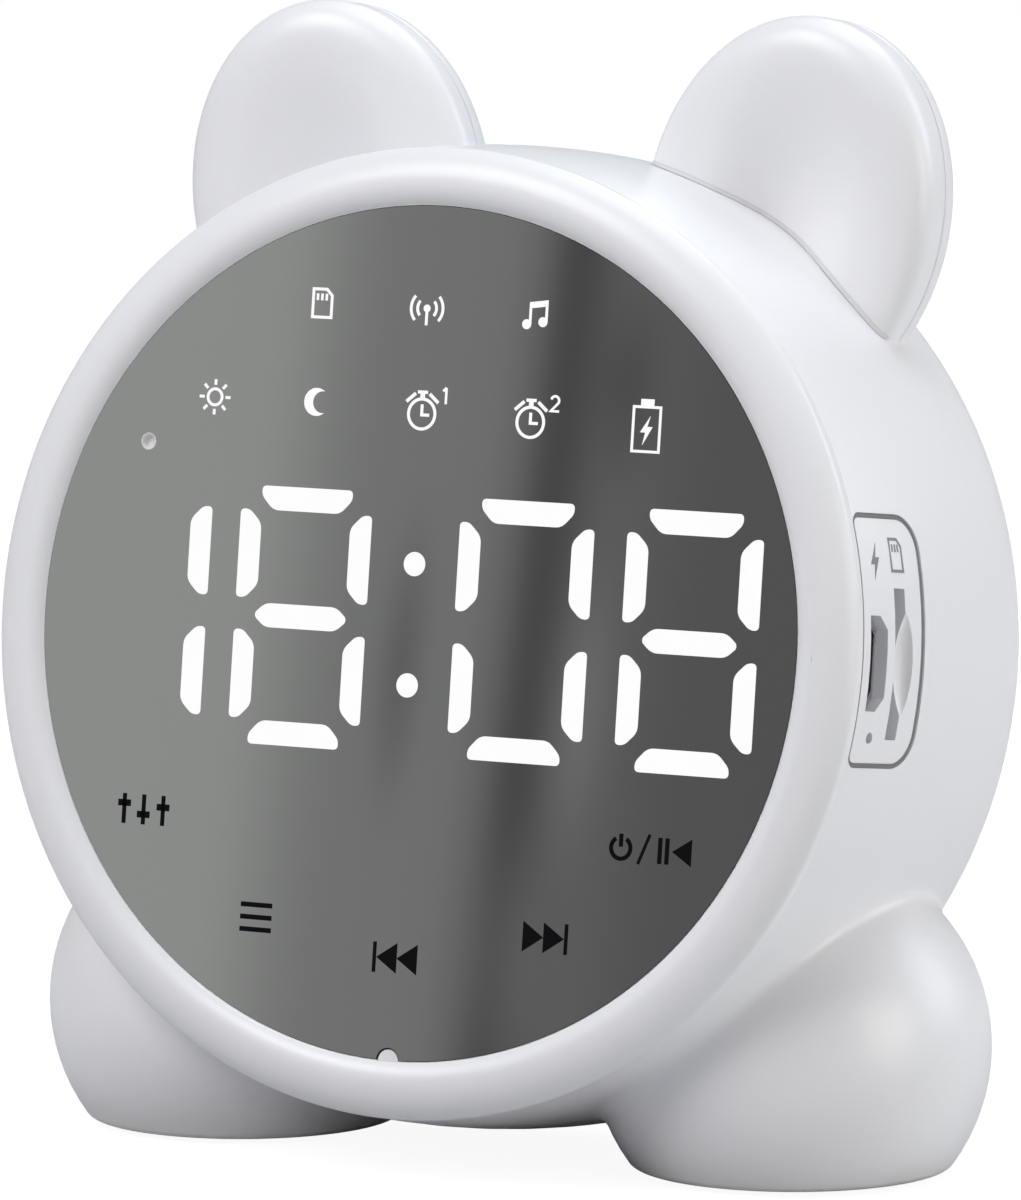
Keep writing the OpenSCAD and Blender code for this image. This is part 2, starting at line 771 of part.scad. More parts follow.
// Battery pouch on a foam pad behind the main board.
module battery_tape() {
    color("black") face_frame() translate([battery_x + 3, inner_y, battery_z + 3])
        cube([battery_w - 6, battery_foam, battery_h - 6]);
}
module battery() {
    cell_y = inner_y + battery_foam;
    color("silver") face_frame() {
        translate([0, cell_y, battery_z]) across(battery_x, battery_x + battery_w)
            rounded(battery_d, battery_h, 1.5);
        translate([battery_x + battery_w - 1, cell_y + 1.5, battery_z + 3])
            cube([3, battery_d - 3, battery_h - 6]);
    }
}

// Speaker, facing the grille in the back.
speaker_plate = 1.5;
basket_r = 18.3;
magnet_r = 12.5;
magnet_y = speaker_face - speaker_d + 1.2;
plate_y = magnet_y + 5.6;
coil_r = 6.6;
coil_t = 0.6;
coil_end = magnet_y + cone_travel + 0.6;
cone_r = 15.5;
cone_y = speaker_face - 1;
module speaker_frame() {
    half = speaker_w / 2;
    color("dimgray") face_frame() difference() {
        union() {
            translate([-half, speaker_face - speaker_plate, -half])
                cube([speaker_w, speaker_plate, speaker_w]);
            spin() polygon([
                [magnet_r - 2, plate_y], [magnet_r + 0.6, plate_y], [basket_r + 1, speaker_face - 1],
                [basket_r - 1, speaker_face - 1], [magnet_r - 0.4, plate_y + 1], [magnet_r - 2, plate_y + 1],
            ]);
        }
        rod([0, 0], basket_r, speaker_face - speaker_plate, far);
        for (a = [0, 90]) rotate([0, a, 0])
            translate([-far, plate_y + 2, -4]) cube([2 * far, speaker_face - plate_y - 5, 8]);
        speaker_posts() rod([0, 0], 1.2, 0, far);
    }
}
module speaker_magnet() {
    color("gray") face_frame() spin() translate([coil_r + 1.7, magnet_y])
        square([magnet_r - coil_r - 1.7, plate_y - magnet_y]);
}
module speaker_yoke() {
    color("silver") face_frame() {
        rod([0, 0], magnet_r - 0.5, magnet_y - 1.2, magnet_y);
        rod([0, 0], coil_r - 0.5, magnet_y - 0.5, plate_y + 1);
    }
}
module speaker_surround() {
    r = [cone_r + 0.3, basket_r - 0.1];
    mid = (r[0] + r[1]) / 2;
    half = (r[1] - r[0]) / 2;
    color("black") face_frame() spin() translate([mid, cone_y]) difference() {
        circle(half);
        circle(half - 0.4);
        translate([-half, -half]) square([2 * half, half]);
    }
}
module speaker_cone() {
    neck = coil_r + coil_t;
    color("dimgray") face_frame() {
        spin() polygon([
            [0, cone_y - 4], [coil_r - 2, cone_y - 5], [coil_r, cone_y - 6.5], [neck, cone_y - 6.5],
            [cone_r, cone_y - 0.6], [cone_r, cone_y], [cone_r - 0.6, cone_y],
            [neck, cone_y - 5.6], [coil_r - 1, cone_y - 4.6], [0, cone_y - 3],
        ]);
        spin() translate([coil_r, coil_end]) square([coil_t, cone_y - 6 - coil_end]);
    }
}
module speaker_gasket() {
    color("black") face_frame() spin() translate([gasket_r[0] + 2.1, speaker_face])
        square([gasket_r[1] - gasket_r[0] - 2.1, gasket_t]);
}
module speaker_screws() {
    color("silver") face_frame() speaker_posts() {
        rod([0, 0], 0.9, speaker_face - speaker_plate - eps, speaker_face + 2);
        rod([0, 0], 2.2, speaker_face - speaker_plate - 1.4, speaker_face - speaker_plate);
    }
}

// A small board with three lamps shines through the front of each ear.
module ear_light_boards() {
    color("white") face_frame() in_ear() plate(ear_board_y, ear_board_y + ear_board_t) difference() {
        translate([-6, -7]) square([12, 14]);
        for (z = [-1, 1]) translate([0, z * ear_peg_z]) circle(ear_peg_r + 0.1);
    }
}
module ear_leds() {
    color("khaki") face_frame() in_ear() for (p = [[0, 0], [-3.5, 0], [3.5, 0]]) led_at(p, ear_board_y);
}

// Leads: a tube of eight sides swept along points in the face frame. No stretch of the
// path runs along side, which keeps the rings from twisting.
function heading(path, i) = unit(path[min(i + 1, len(path) - 1)] - path[max(i - 1, 0)]);
module lead(path, side) {
    sides = 8;
    last = len(path) - 1;
    ring = [
        for (i = [0:last], n = [0:sides - 1])
            let (u = unit(cross(heading(path, i), side)), v = cross(heading(path, i), u))
            path[i] + lead_r * (cos(360 * n / sides) * u + sin(360 * n / sides) * v),
    ];
    walls = [
        for (i = [0:last - 1], n = [0:sides - 1])
            let (a = i * sides + n, b = i * sides + (n + 1) % sides)
            each [[b, a, a + sides], [b, a + sides, b + sides]],
    ];
    caps = [[for (n = [0:sides - 1]) n], [for (n = [0:sides - 1]) last * sides + sides - 1 - n]];
    polyhedron(ring, concat(walls, caps));
}
lead_r = 0.6;
plug_y = inner_y + plug_h;
module battery_lead() {
    tab = [battery_x + battery_w + 2, inner_y + battery_foam + 3.1, battery_top - 10];
    plug = [battery_plug.x, tab.y - 1, battery_plug.y - 2.5];
    color("red") face_frame() lead([
        tab, tab + [1.4, 0, 0], tab + [3, -0.4, 2], plug - [0, 0, 1.3], plug,
    ], [0, 1, 0]);
}
module speaker_lead() {
    start = [8, speaker_face - speaker_plate, speaker_w / 2 - 1.2];
    plug = [speaker_plug.x, plug_y, speaker_plug.y];
    color("black") face_frame() lead([
        start, start - [0, 2.7, 0], start - [3, 10.7, -1.2], plug + [0, 3.6, 0], plug,
    ], [1, 0, 0]);
}
module ear_light_leads() {
    inward = -[cos(ear_angle), 0, sin(ear_angle)];
    edge = [ear_c.x, ear_board_y + ear_board_t / 2, ear_c.y];
    bend = edge + 8.5 * inward;
    plug = [light_plug.x, plug_y, light_plug.y + 0.5];
    color("gray") face_frame() pair() lead([
        edge + 7 * inward, bend, bend - [0.4, 2.5, 3.2], bend - [-1.6, 8, 8.2],
        plug + [0, 2.1, 0], plug,
    ], [1, 0, 0]);
}

front_bezel();
mirror_panel();
mirror_tape();
display_mask();
light_box();
segment_diffusers();
display_leds();
touch_springs();
microphone();
main_board();
board_screws();
board_chips();
board_connectors();
front_housing();
rear_housing();
housing_screws();
foot_pads();
port_board();
port_header();
charging_socket();
charging_tongue();
card_socket();
card_slider();
reset_switch();
reset_plunger();
battery();
battery_tape();
speaker_frame();
speaker_magnet();
speaker_yoke();
speaker_surround();
speaker_cone();
speaker_gasket();
speaker_screws();
ear_light_boards();
ear_leds();
battery_lead();
speaker_lead();
ear_light_leads();
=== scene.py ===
"""Looks of a bear-shaped alarm clock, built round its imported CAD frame.

The face frame is in millimetres: X to the right, Y into the body, Z up the face, with
its origin at the centre of the mirror's front surface. row() turns it into metres in
the frame of the CAD model. Left and right are the viewer's, in front of the clock.
"""

import json
import math

import bmesh
import bpy
import numpy as np
from mathutils import Matrix, Vector


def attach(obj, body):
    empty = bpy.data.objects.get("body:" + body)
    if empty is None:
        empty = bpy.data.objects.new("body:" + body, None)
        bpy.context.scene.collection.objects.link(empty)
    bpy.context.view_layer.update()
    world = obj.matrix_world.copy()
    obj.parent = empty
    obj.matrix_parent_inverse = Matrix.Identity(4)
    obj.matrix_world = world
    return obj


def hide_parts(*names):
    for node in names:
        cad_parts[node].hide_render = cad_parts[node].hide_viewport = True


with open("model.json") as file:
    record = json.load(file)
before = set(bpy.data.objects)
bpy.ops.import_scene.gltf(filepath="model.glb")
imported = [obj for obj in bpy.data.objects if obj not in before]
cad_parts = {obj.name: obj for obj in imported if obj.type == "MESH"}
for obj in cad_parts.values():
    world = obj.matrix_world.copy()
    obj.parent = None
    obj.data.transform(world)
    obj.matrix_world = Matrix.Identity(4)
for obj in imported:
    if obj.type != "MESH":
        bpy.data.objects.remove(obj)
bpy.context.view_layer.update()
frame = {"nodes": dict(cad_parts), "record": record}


# ---------------------------------------------------------------- sizes of the CAD model
# All in millimetres of the face frame and in degrees, as the construction has them.

MM = 0.001
TILT = 7.4
FACE_HEIGHT = 48.65
ORIGIN_Y = -18.177
MIRROR_R = 38.0
BODY_R, BELLY_Y, BULGE_R = 44.3, 21.0, 150.0
ROUND_R, ROUND_Y, DOME_R = 8.5, 30.3, 300.0
PARTING_Y, HOUSING_FRONT = 24.4, 2.3
FOOT_R, FOOT_REACH, FOOT_ANGLE, FOOT_Y = 17.9, 44.6, 51.0, 23.5
# Surfaces that must not coincide are this far apart.
HAIR = 0.02
SIDE_X = BODY_R - BULGE_R
ROUND_X = SIDE_X + math.sqrt((BULGE_R - ROUND_R) ** 2 - (ROUND_Y - BELLY_Y) ** 2)
DOME_Y = ROUND_Y - math.sqrt((DOME_R - ROUND_R) ** 2 - ROUND_X ** 2)

FACE = (
    Matrix.Translation((0, ORIGIN_Y * MM, FACE_HEIGHT * MM))
    @ Matrix.Rotation(-math.radians(TILT), 4, "X")
    @ Matrix.Scale(MM, 4)
)


def row(points):
    """Points of the face frame, in millimetres, as metres in the CAD model's frame."""
    points = np.atleast_2d(np.asarray(points, float))
    m = np.array(FACE)
    return points @ m[:3, :3].T + m[:3, 3]


def world_to_face(points):
    """Points of the CAD model's frame, in metres, as millimetres in the face frame."""
    inverse = np.array(FACE.inverted())
    return points @ inverse[:3, :3].T + inverse[:3, 3]


def side_radius(y):
    """Radius of the body's side at a depth, or at each of an array of depths."""
    return SIDE_X + np.sqrt(BULGE_R ** 2 - (y - BELLY_Y) ** 2)


def body_profile(s):
    """Point and outward normal of the body's outline, s in mm along it from its front."""
    a0 = math.asin((HOUSING_FRONT - BELLY_Y) / BULGE_R)
    a1 = math.atan2(ROUND_Y - BELLY_Y, ROUND_X - SIDE_X)
    b1 = math.atan2(ROUND_Y - DOME_Y, ROUND_X)
    side = BULGE_R * (a1 - a0)
    corner = ROUND_R * (b1 - a1)
    if s < side:
        centre, radius, a = (SIDE_X, BELLY_Y), BULGE_R, a0 + s / BULGE_R
    elif s < side + corner:
        centre, radius, a = (ROUND_X, ROUND_Y), ROUND_R, a1 + (s - side) / ROUND_R
    else:
        centre, radius, a = (0.0, DOME_Y), DOME_R, b1 + (s - side - corner) / DOME_R
    n = (math.cos(a), math.sin(a))
    return (centre[0] + radius * n[0], centre[1] + radius * n[1]), n


# ---------------------------------------------------------------- helpers for the scene


def add_object(name, data):
    """A new object, linked to the scene."""
    thing = bpy.data.objects.new(name, data)
    bpy.context.scene.collection.objects.link(thing)
    return thing


def aim(direction):
    """Rotation of a camera or lamp that looks along a direction."""
    return direction.to_track_quat("-Z", "Y").to_euler()


def new_nodes(owner):
    """The emptied node tree of a material or world."""
    owner.use_nodes = True
    tree = owner.node_tree
    tree.nodes.clear()
    return tree.nodes, tree.links


def add_node(nodes, kind, **values):
    """A shader node, with sockets set by name. An underscore stands for a space."""
    node = nodes.new("ShaderNode" + kind)
    for key, value in values.items():
        node.inputs[key.replace("_", " ")].default_value = value
    return node


# ---------------------------------------------------------------- camera and staging

# The camera's place and lens are in millimetres. What follows, up to the card, is in
# metres, as Blender has them.
CAMERA_AT = (423.0, -787.9, 159.65)
CAMERA_LOOK = (-0.4695, 0.8745, -0.1221)
CAMERA_LENS, CAMERA_SENSOR = 300.3, 36.0
CAMERA_CLIP = (0.05, 20.0)

# Name, place, watts and colour of each soft square lamp.
LAMPS = [
    ("key", (-0.55, -0.95, 1.15), 14.2, (1.0, 0.99, 0.985)),
    ("top", (0.0, 0.0, 1.6), 7.8, (0.76, 0.87, 1.0)),
    ("side", (1.45, -0.1, 0.3), 7.8, (1.0, 0.98, 0.89)),
    ("side_back", (1.1, 0.9, 0.6), 6.6, (0.9, 0.92, 1.0)),
    ("back", (0.0, 1.05, 1.2), 5.6, (0.93, 1.0, 0.98)),
]
LAMP_SIZE = 0.8
LAMP_TARGET = (0, 0, 0.05)
SKY_TOP, SKY_HORIZON = 0.22, 0.16
FILL_COLOR = (1.0, 0.97, 1.0, 1)
WHITE = (1, 1, 1, 1)
FLOOR_HALF = 3.0
FLOOR_COLOR = (0.5, 0.5, 0.51, 1)
# To the camera the floor glows, under a dark paint that still shows the shadow.
FLOOR_SHADOW = (0.15, 0.15, 0.15, 1)
FLOOR_LIFT = 0.93

# The card stands this far from the mirror's middle. All in millimetres.
CARD_AT = 260.0
CARD_WIDTH, CARD_HEIGHT = 260.0, 320.0
# Brightness of the room that the mirror shows, along the card from its left to its right.
CARD_BANDS = [
    (0.000, 0.74), (0.412, 0.74), (0.432, 0.63), (0.450, 0.49), (0.468, 0.45), (0.514, 0.45),
    (0.529, 0.35), (0.539, 0.12), (0.550, 0.15), (0.564, 0.31), (0.585, 0.28), (0.612, 0.22),
    (1.000, 0.21),
]
# Green against red and blue: the mirror tints the room a trace green.
CARD_GREEN = 1.01
# Things in that room, far out of focus: the middle and half the width and height of each,
# as shares of the card, and how much of the light its middle leaves or adds.
CARD_SMUDGES = [
    (0.487, 0.485, 0.014, 0.075, 0.60),
    (0.572, 0.595, 0.022, 0.050, 0.66),
    (0.566, 0.475, 0.022, 0.075, 1.45),
    (0.547, 0.385, 0.020, 0.070, 1.60),
]


def make_camera():
    """A long lens at the photograph's viewing angle."""
    data = bpy.data.cameras.new("camera")
    data.lens = CAMERA_LENS
    data.sensor_width = CAMERA_SENSOR
    data.clip_start, data.clip_end = CAMERA_CLIP
    camera = add_object("camera", data)
    camera.location = Vector(CAMERA_AT) * MM
    camera.rotation_euler = aim(Vector(CAMERA_LOOK))
    bpy.context.scene.camera = camera


def make_lamps():
    """The lamps, each aimed at the clock's middle."""
    for name, at, power, color in LAMPS:
        data = bpy.data.lights.new(name, "AREA")
        data.shape = "RECTANGLE"
        data.size = data.size_y = LAMP_SIZE
        data.energy = power
        data.color = color
        lamp = add_object(name, data)
        lamp.location = at
        lamp.rotation_euler = aim(Vector(LAMP_TARGET) - Vector(at))


def make_world():
    """Soft pale surroundings, brighter overhead, and plain white to the camera."""
    world = bpy.data.worlds.new("studio")
    bpy.context.scene.world = world
    nodes, links = new_nodes(world)
    out = add_node(nodes, "OutputWorld")
    mix = add_node(nodes, "MixShader")
    coords = add_node(nodes, "TexCoord")
    split = add_node(nodes, "SeparateXYZ")
    height = add_node(nodes, "MapRange", To_Min=SKY_HORIZON, To_Max=SKY_TOP)
    fill = add_node(nodes, "Background", Color=FILL_COLOR)
    white = add_node(nodes, "Background", Color=WHITE, Strength=1.0)
    path = add_node(nodes, "LightPath")
    links.new(coords.outputs["Generated"], split.inputs[0])
    links.new(split.outputs["Z"], height.inputs["Value"])
    links.new(height.outputs["Result"], fill.inputs["Strength"])
    links.new(path.outputs["Is Camera Ray"], mix.inputs["Fac"])
    links.new(fill.outputs[0], mix.inputs[1])
    links.new(white.outputs[0], mix.inputs[2])
    links.new(mix.outputs[0], out.inputs["Surface"])


def make_floor():
    """A plain pale floor. The camera sees it white, with a light shadow of the clock."""
    bm = bmesh.new()
    bmesh.ops.create_grid(bm, x_segments=1, y_segments=1, size=FLOOR_HALF)
    mesh = bpy.data.meshes.new("floor")
    bm.to_mesh(mesh)
    bm.free()
    floor = add_object("floor", mesh)
    material = bpy.data.materials.new("floor_white")
    nodes, links = new_nodes(material)
    out = add_node(nodes, "OutputMaterial")
    paint = add_node(nodes, "BsdfDiffuse", Color=FLOOR_COLOR)
    shadow = add_node(nodes, "BsdfDiffuse", Color=FLOOR_SHADOW)
    lift = add_node(nodes, "Emission", Strength=FLOOR_LIFT)
    seen = add_node(nodes, "AddShader")
    path = add_node(nodes, "LightPath")
    mix = add_node(nodes, "MixShader")
    links.new(shadow.outputs[0], seen.inputs[0])
    links.new(lift.outputs[0], seen.inputs[1])
    links.new(path.outputs["Is Camera Ray"], mix.inputs["Fac"])
    links.new(paint.outputs[0], mix.inputs[1])
    links.new(seen.outputs[0], mix.inputs[2])
    links.new(mix.outputs[0], out.inputs["Surface"])
    mesh.materials.append(material)


def card_light(nodes, links, uv):
    """The card's strength, 1 apart from the smudges, as the output of a chain of nodes."""
    strength = None
    for u, v, half_u, half_v, middle in CARD_SMUDGES:
        place = add_node(nodes, "Mapping", Scale=(1 / half_u, 1 / half_v, 1),
                         Location=(-u / half_u, -v / half_v, 0))
        blob = add_node(nodes, "TexGradient")
        blob.gradient_type = "SPHERICAL"
        fade = add_node(nodes, "MapRange", To_Min=1.0, To_Max=middle)
        fade.interpolation_type = "SMOOTHSTEP"
        links.new(uv, place.inputs["Vector"])
        links.new(place.outputs[0], blob.inputs["Vector"])
        links.new(blob.outputs["Fac"], fade.inputs["Value"])
        if strength is None:
            strength = fade.outputs["Result"]
            continue
        product = add_node(nodes, "Math")
        product.operation = "MULTIPLY"
        links.new(strength, product.inputs[0])
        links.new(fade.outputs["Result"], product.inputs[1])
        strength = product.outputs[0]
    return strength


def card_material():
    """The glowing bands and smudges of the card."""
    material = bpy.data.materials.new("room_bands")
    nodes, links = new_nodes(material)
    out = add_node(nodes, "OutputMaterial")
    glow = add_node(nodes, "Emission")
    coords = add_node(nodes, "TexCoord")
    split = add_node(nodes, "SeparateXYZ")
    ramp = add_node(nodes, "ValToRGB")
    ramp.color_ramp.interpolation = "B_SPLINE"
    stops = ramp.color_ramp.elements
    for i, (at, level) in enumerate(CARD_BANDS):
        stop = stops[i] if i < 2 else stops.new(at)
        stop.position = at
        stop.color = (level, level * CARD_GREEN, level, 1)
    links.new(coords.outputs["UV"], split.inputs[0])
    links.new(split.outputs["X"], ramp.inputs["Fac"])
    links.new(ramp.outputs["Color"], glow.inputs["Color"])
    links.new(card_light(nodes, links, coords.outputs["UV"]), glow.inputs["Strength"])
    links.new(glow.outputs[0], out.inputs["Surface"])
    return material


def make_card():
    """A card that only the mirror sees: upright bands as of a room far out of focus."""
    face = Vector(row([[0, 0, 0]])[0])
    normal = (Vector(row([[0, -1, 0]])[0]) - face).normalized()
    look = Vector(CAMERA_LOOK).normalized()
    away = look - 2 * look.dot(normal) * normal
    side = Vector((0, 0, 1)).cross(away).normalized()
    up = away.cross(side).normalized()
    centre = face + away * CARD_AT * MM
    w, h = CARD_WIDTH / 2 * MM, CARD_HEIGHT / 2 * MM
    corners = [centre + side * a * w + up * b * h for a, b in ((-1, -1), (1, -1), (1, 1), (-1, 1))]
    mesh = bpy.data.meshes.new("room_card")
    mesh.from_pydata([tuple(c) for c in corners], [], [(0, 1, 2, 3)])
    uv = mesh.uv_layers.new(name="UVMap")
    for i, corner in enumerate(((0, 0), (1, 0), (1, 1), (0, 1))):
        uv.data[i].uv = corner
    mesh.materials.append(card_material())
    card = add_object("room_card", mesh)
    card.visible_camera = False
    card.visible_diffuse = False
    card.visible_shadow = False
    card.visible_transmission = False


# ---------------------------------------------------------------- materials

# Colour, roughness, metallic, size of the grain in mm, height of its relief in mm, and
# the share by which the grain spreads the tone. First the material slots of the record.
MATERIALS = {
    "white_shell": ((0.86, 0.86, 0.88), 0.33, 0, 6.0, 0, 0.003),
    "mirror": ((0.35, 0.356, 0.35), 0.05, 1, 30.0, 0, 0.01),
    "black_foam": ((0.03, 0.03, 0.03), 0.9, 0, 0.5, 0.05, 0.3),
    "black_film": ((0.02, 0.02, 0.022), 0.45, 0, 0.8, 0.01, 0.15),
    "light_box": ((0.86, 0.86, 0.85), 0.5, 0, 0.9, 0.01, 0.03),
    "diffuser": ((0.9, 0.9, 0.9), 0.6, 0, 0.6, 0.01, 0.03),
    "led": ((0.85, 0.8, 0.5), 0.4, 0, 0.4, 0.01, 0.03),
    "spring_steel": ((0.62, 0.62, 0.63), 0.3, 1, 0.3, 0.01, 0.03),
    "board_green": ((0.02, 0.16, 0.07), 0.35, 0, 1.6, 0.02, 0.2),
    "board_white": ((0.8, 0.81, 0.8), 0.4, 0, 1.6, 0.02, 0.03),
    "chip_black": ((0.025, 0.025, 0.028), 0.5, 0, 0.3, 0.02, 0.2),
    "plug_ivory": ((0.78, 0.74, 0.62), 0.45, 0, 0.7, 0.01, 0.03),
    "steel": ((0.6, 0.6, 0.61), 0.28, 1, 0.4, 0.01, 0.03),
    "sole_rubber": ((0.6, 0.6, 0.62), 0.75, 0, 0.5, 0.04, 0.06),
    "cell_foil": ((0.6, 0.61, 0.63), 0.4, 1, 3.0, 0.1, 0.03),
    "magnet": ((0.1, 0.1, 0.105), 0.6, 0, 0.7, 0.03, 0.2),
    "cone": ((0.035, 0.035, 0.037), 0.85, 0, 0.35, 0.08, 0.3),
    "wire_red": ((0.5, 0.02, 0.015), 0.45, 0, 0.6, 0.01, 0.03),
    "wire_black": ((0.02, 0.02, 0.02), 0.5, 0, 0.6, 0.01, 0.2),
    "wire_grey": ((0.2, 0.2, 0.22), 0.5, 0, 0.6, 0.01, 0.03),
    # The marks and other small pieces that this script adds.
    "touch_ink": ((0.004, 0.004, 0.005), 0.6, 0, 0.8, 0, 0.1),
    "port_ink": ((0.24, 0.24, 0.25), 0.5, 0, 0.5, 0, 0.05),
    # A dark grey strip in the groove round the port panel: painted shade of the narrow gap.
    "port_gap": ((0.2, 0.2, 0.21), 0.6, 0, 0.5, 0, 0.05),
    "microphone_grey": ((0.74, 0.74, 0.74), 0.4, 0, 0.4, 0, 0.04),
    # A darker grey for the strips that paint the shade in the creases where the ears meet the body.
    "crease_painted_shade": ((0.66, 0.66, 0.68), 0.5, 0, 0.5, 0, 0.05),
}
# How strongly a surface reflects at its plain angle, where it isn't the usual 0.5.
SPECULAR = {"touch_ink": 0.05}
# Roughness varies this many times as far as the tone does.
ROUGH_SPREAD = 3
# Sockets of a Mix node that mixes colours.
MIX_FIRST, MIX_SECOND, MIX_RESULT = 6, 7, 2
LIT_DIM, LIT_GRAIN = (0.97, 0.97, 0.97, 1), 2.5


def principled(name, color, roughness, metallic, grain, bump, spread):
    """A surface whose tone and roughness vary a little with a fine grain."""
    material = bpy.data.materials.new(name)
    nodes, links = new_nodes(material)
    out = add_node(nodes, "OutputMaterial")
    shader = add_node(nodes, "BsdfPrincipled", Metallic=metallic,
                      Specular_IOR_Level=SPECULAR.get(name, 0.5))
    coords = add_node(nodes, "TexCoord")
    noise = add_node(nodes, "TexNoise", Scale=1 / (grain * MM), Detail=3.0)
    tone = add_node(nodes, "Mix")
    tone.data_type = "RGBA"
    tone.inputs[MIX_FIRST].default_value = (*[c * (1 - spread) for c in color], 1)
    tone.inputs[MIX_SECOND].default_value = (*[min(1.0, c * (1 + spread)) for c in color], 1)
    rough = add_node(nodes, "MapRange",
                     To_Min=max(0.0, roughness * (1 - ROUGH_SPREAD * spread)),
                     To_Max=min(1.0, roughness * (1 + ROUGH_SPREAD * spread)))
    links.new(coords.outputs["Object"], noise.inputs["Vector"])
    links.new(noise.outputs["Fac"], tone.inputs["Factor"])
    links.new(tone.outputs[MIX_RESULT], shader.inputs["Base Color"])
    links.new(noise.outputs["Fac"], rough.inputs["Value"])
    links.new(rough.outputs["Result"], shader.inputs["Roughness"])
    if bump:
        ridge = add_node(nodes, "Bump", Strength=1.0, Distance=bump * MM)
        links.new(noise.outputs["Fac"], ridge.inputs["Height"])
        links.new(ridge.outputs["Normal"], shader.inputs["Normal"])
    links.new(shader.outputs[0], out.inputs["Surface"])
    return material


def lit_material():
    """A lit segment behind the mirror: plain white light with a faint milky unevenness."""
    material = bpy.data.materials.new("lit_segment")
    nodes, links = new_nodes(material)
    out = add_node(nodes, "OutputMaterial")
    glow = add_node(nodes, "Emission")
    coords = add_node(nodes, "TexCoord")
    noise = add_node(nodes, "TexNoise", Scale=1 / (LIT_GRAIN * MM))
    ramp = add_node(nodes, "ValToRGB")
    ramp.color_ramp.elements[0].color = LIT_DIM
    ramp.color_ramp.elements[1].color = WHITE
    links.new(coords.outputs["Object"], noise.inputs["Vector"])
    links.new(noise.outputs["Fac"], ramp.inputs["Fac"])
    links.new(ramp.outputs["Color"], glow.inputs["Color"])
    links.new(glow.outputs[0], out.inputs["Surface"])
    return material


# ---------------------------------------------------------------- meshes


def add_piece(name, points, faces, material, slot, smooth=True, sharp=40):
    """A piece of the clock's body, from points in the face frame."""
    mesh = bpy.data.meshes.new(name)
    mesh.from_pydata(row(points).tolist(), [], [tuple(int(i) for i in f) for f in faces])
    mesh.materials.append(material)
    if smooth:
        mesh.shade_smooth()
        mesh.set_sharp_from_angle(angle=math.radians(sharp))
    piece = add_object(name, mesh)
    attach(piece, "body")


def sweep_faces(rows, ring, closed=True):
    """Quads between rows of a grid whose rows are rings of points, or open lines."""
    steps = ring if closed else ring - 1
    return [
        (i * ring + j, i * ring + (j + 1) % ring, (i + 1) * ring + (j + 1) % ring, (i + 1) * ring + j)
        for i in range(rows - 1)
        for j in range(steps)
    ]


def read_mesh(mesh):
    """Points and triangles of a mesh, and the exact normals at the triangles' corners."""
    def column(items, name, kind):
        values = np.empty(len(items) * 3, kind)
        items.foreach_get(name, values)
        return values.reshape(-1, 3)

    mesh.calc_loop_triangles()
    points = column(mesh.vertices, "co", float)
    faces = column(mesh.loop_triangles, "vertices", np.int32)
    loops = column(mesh.loop_triangles, "loops", np.int32)
    return points, faces, column(mesh.corner_normals, "vector", float)[loops]


def smooth_normals(points, faces):
    """Normal of each point, from the triangles that meet there, weighted by their size."""
    first, second, third = (points[faces[:, k]] for k in range(3))
    sides = np.cross(second - first, third - first)
    total = np.zeros_like(points)
    for k in range(3):
        np.add.at(total, faces[:, k], sides)
    return total / np.maximum(np.linalg.norm(total, axis=1, keepdims=True), 1e-30)


def carried_copy(node, name, drop, grids, material):
    """The CAD node's mesh without the faces that drop() names, and with grids added.

    What stays keeps the exact normals that the CAD model has. drop() gets the corners of
    all the triangles in the face frame and gives a mask. Each grid is (points, quads) in
    the face frame, and a quad may have two corners in one place.
    """
    points, faces, normals = read_mesh(frame["nodes"][node].data)
    keep = ~drop(world_to_face(points)[faces])
    all_points, all_faces, all_normals = [points], [faces[keep]], [normals[keep].reshape(-1, 3)]
    start = len(points)
    for grid, quads in grids:
        grid = row(grid)
        halves = [half for a, b, c, d in quads for half in ((a, b, c), (a, c, d))]
        faces = np.array([half for half in halves if len(set(half)) == 3], np.int32)
        all_points.append(grid)
        all_faces.append(faces + start)
        all_normals.append(smooth_normals(grid, faces)[faces].reshape(-1, 3))
        start += len(grid)
    points, faces = np.concatenate(all_points), np.concatenate(all_faces)
    used = np.unique(faces)
    renumber = np.zeros(len(points), np.int32)
    renumber[used] = np.arange(len(used))
    mesh = bpy.data.meshes.new(name)
    mesh.from_pydata(points[used].tolist(), [], renumber[faces].tolist())
    mesh.shade_smooth()
    mesh.normals_split_custom_set(np.concatenate(all_normals).tolist())
    mesh.materials.append(material)
    piece = add_object(name, mesh)
    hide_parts(node)
    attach(piece, "body")


# ---------------------------------------------------------------- ring round the mirror

RING_INNER, RING_END = 37.9, 2.28
CREST_R, CREST_H, CREST_ROUND = 39.6, 0.7, 2.2
EDGE_ROUND, EDGE_Y = 0.9, 1.5
# Where the ring's inner wall starts and its lip ends, and the width of the face at its back.
RING_WALL, RING_LIP, RING_FOOT = 0.3, (0.06, 0.03), 1.6
RING_STEPS = 400


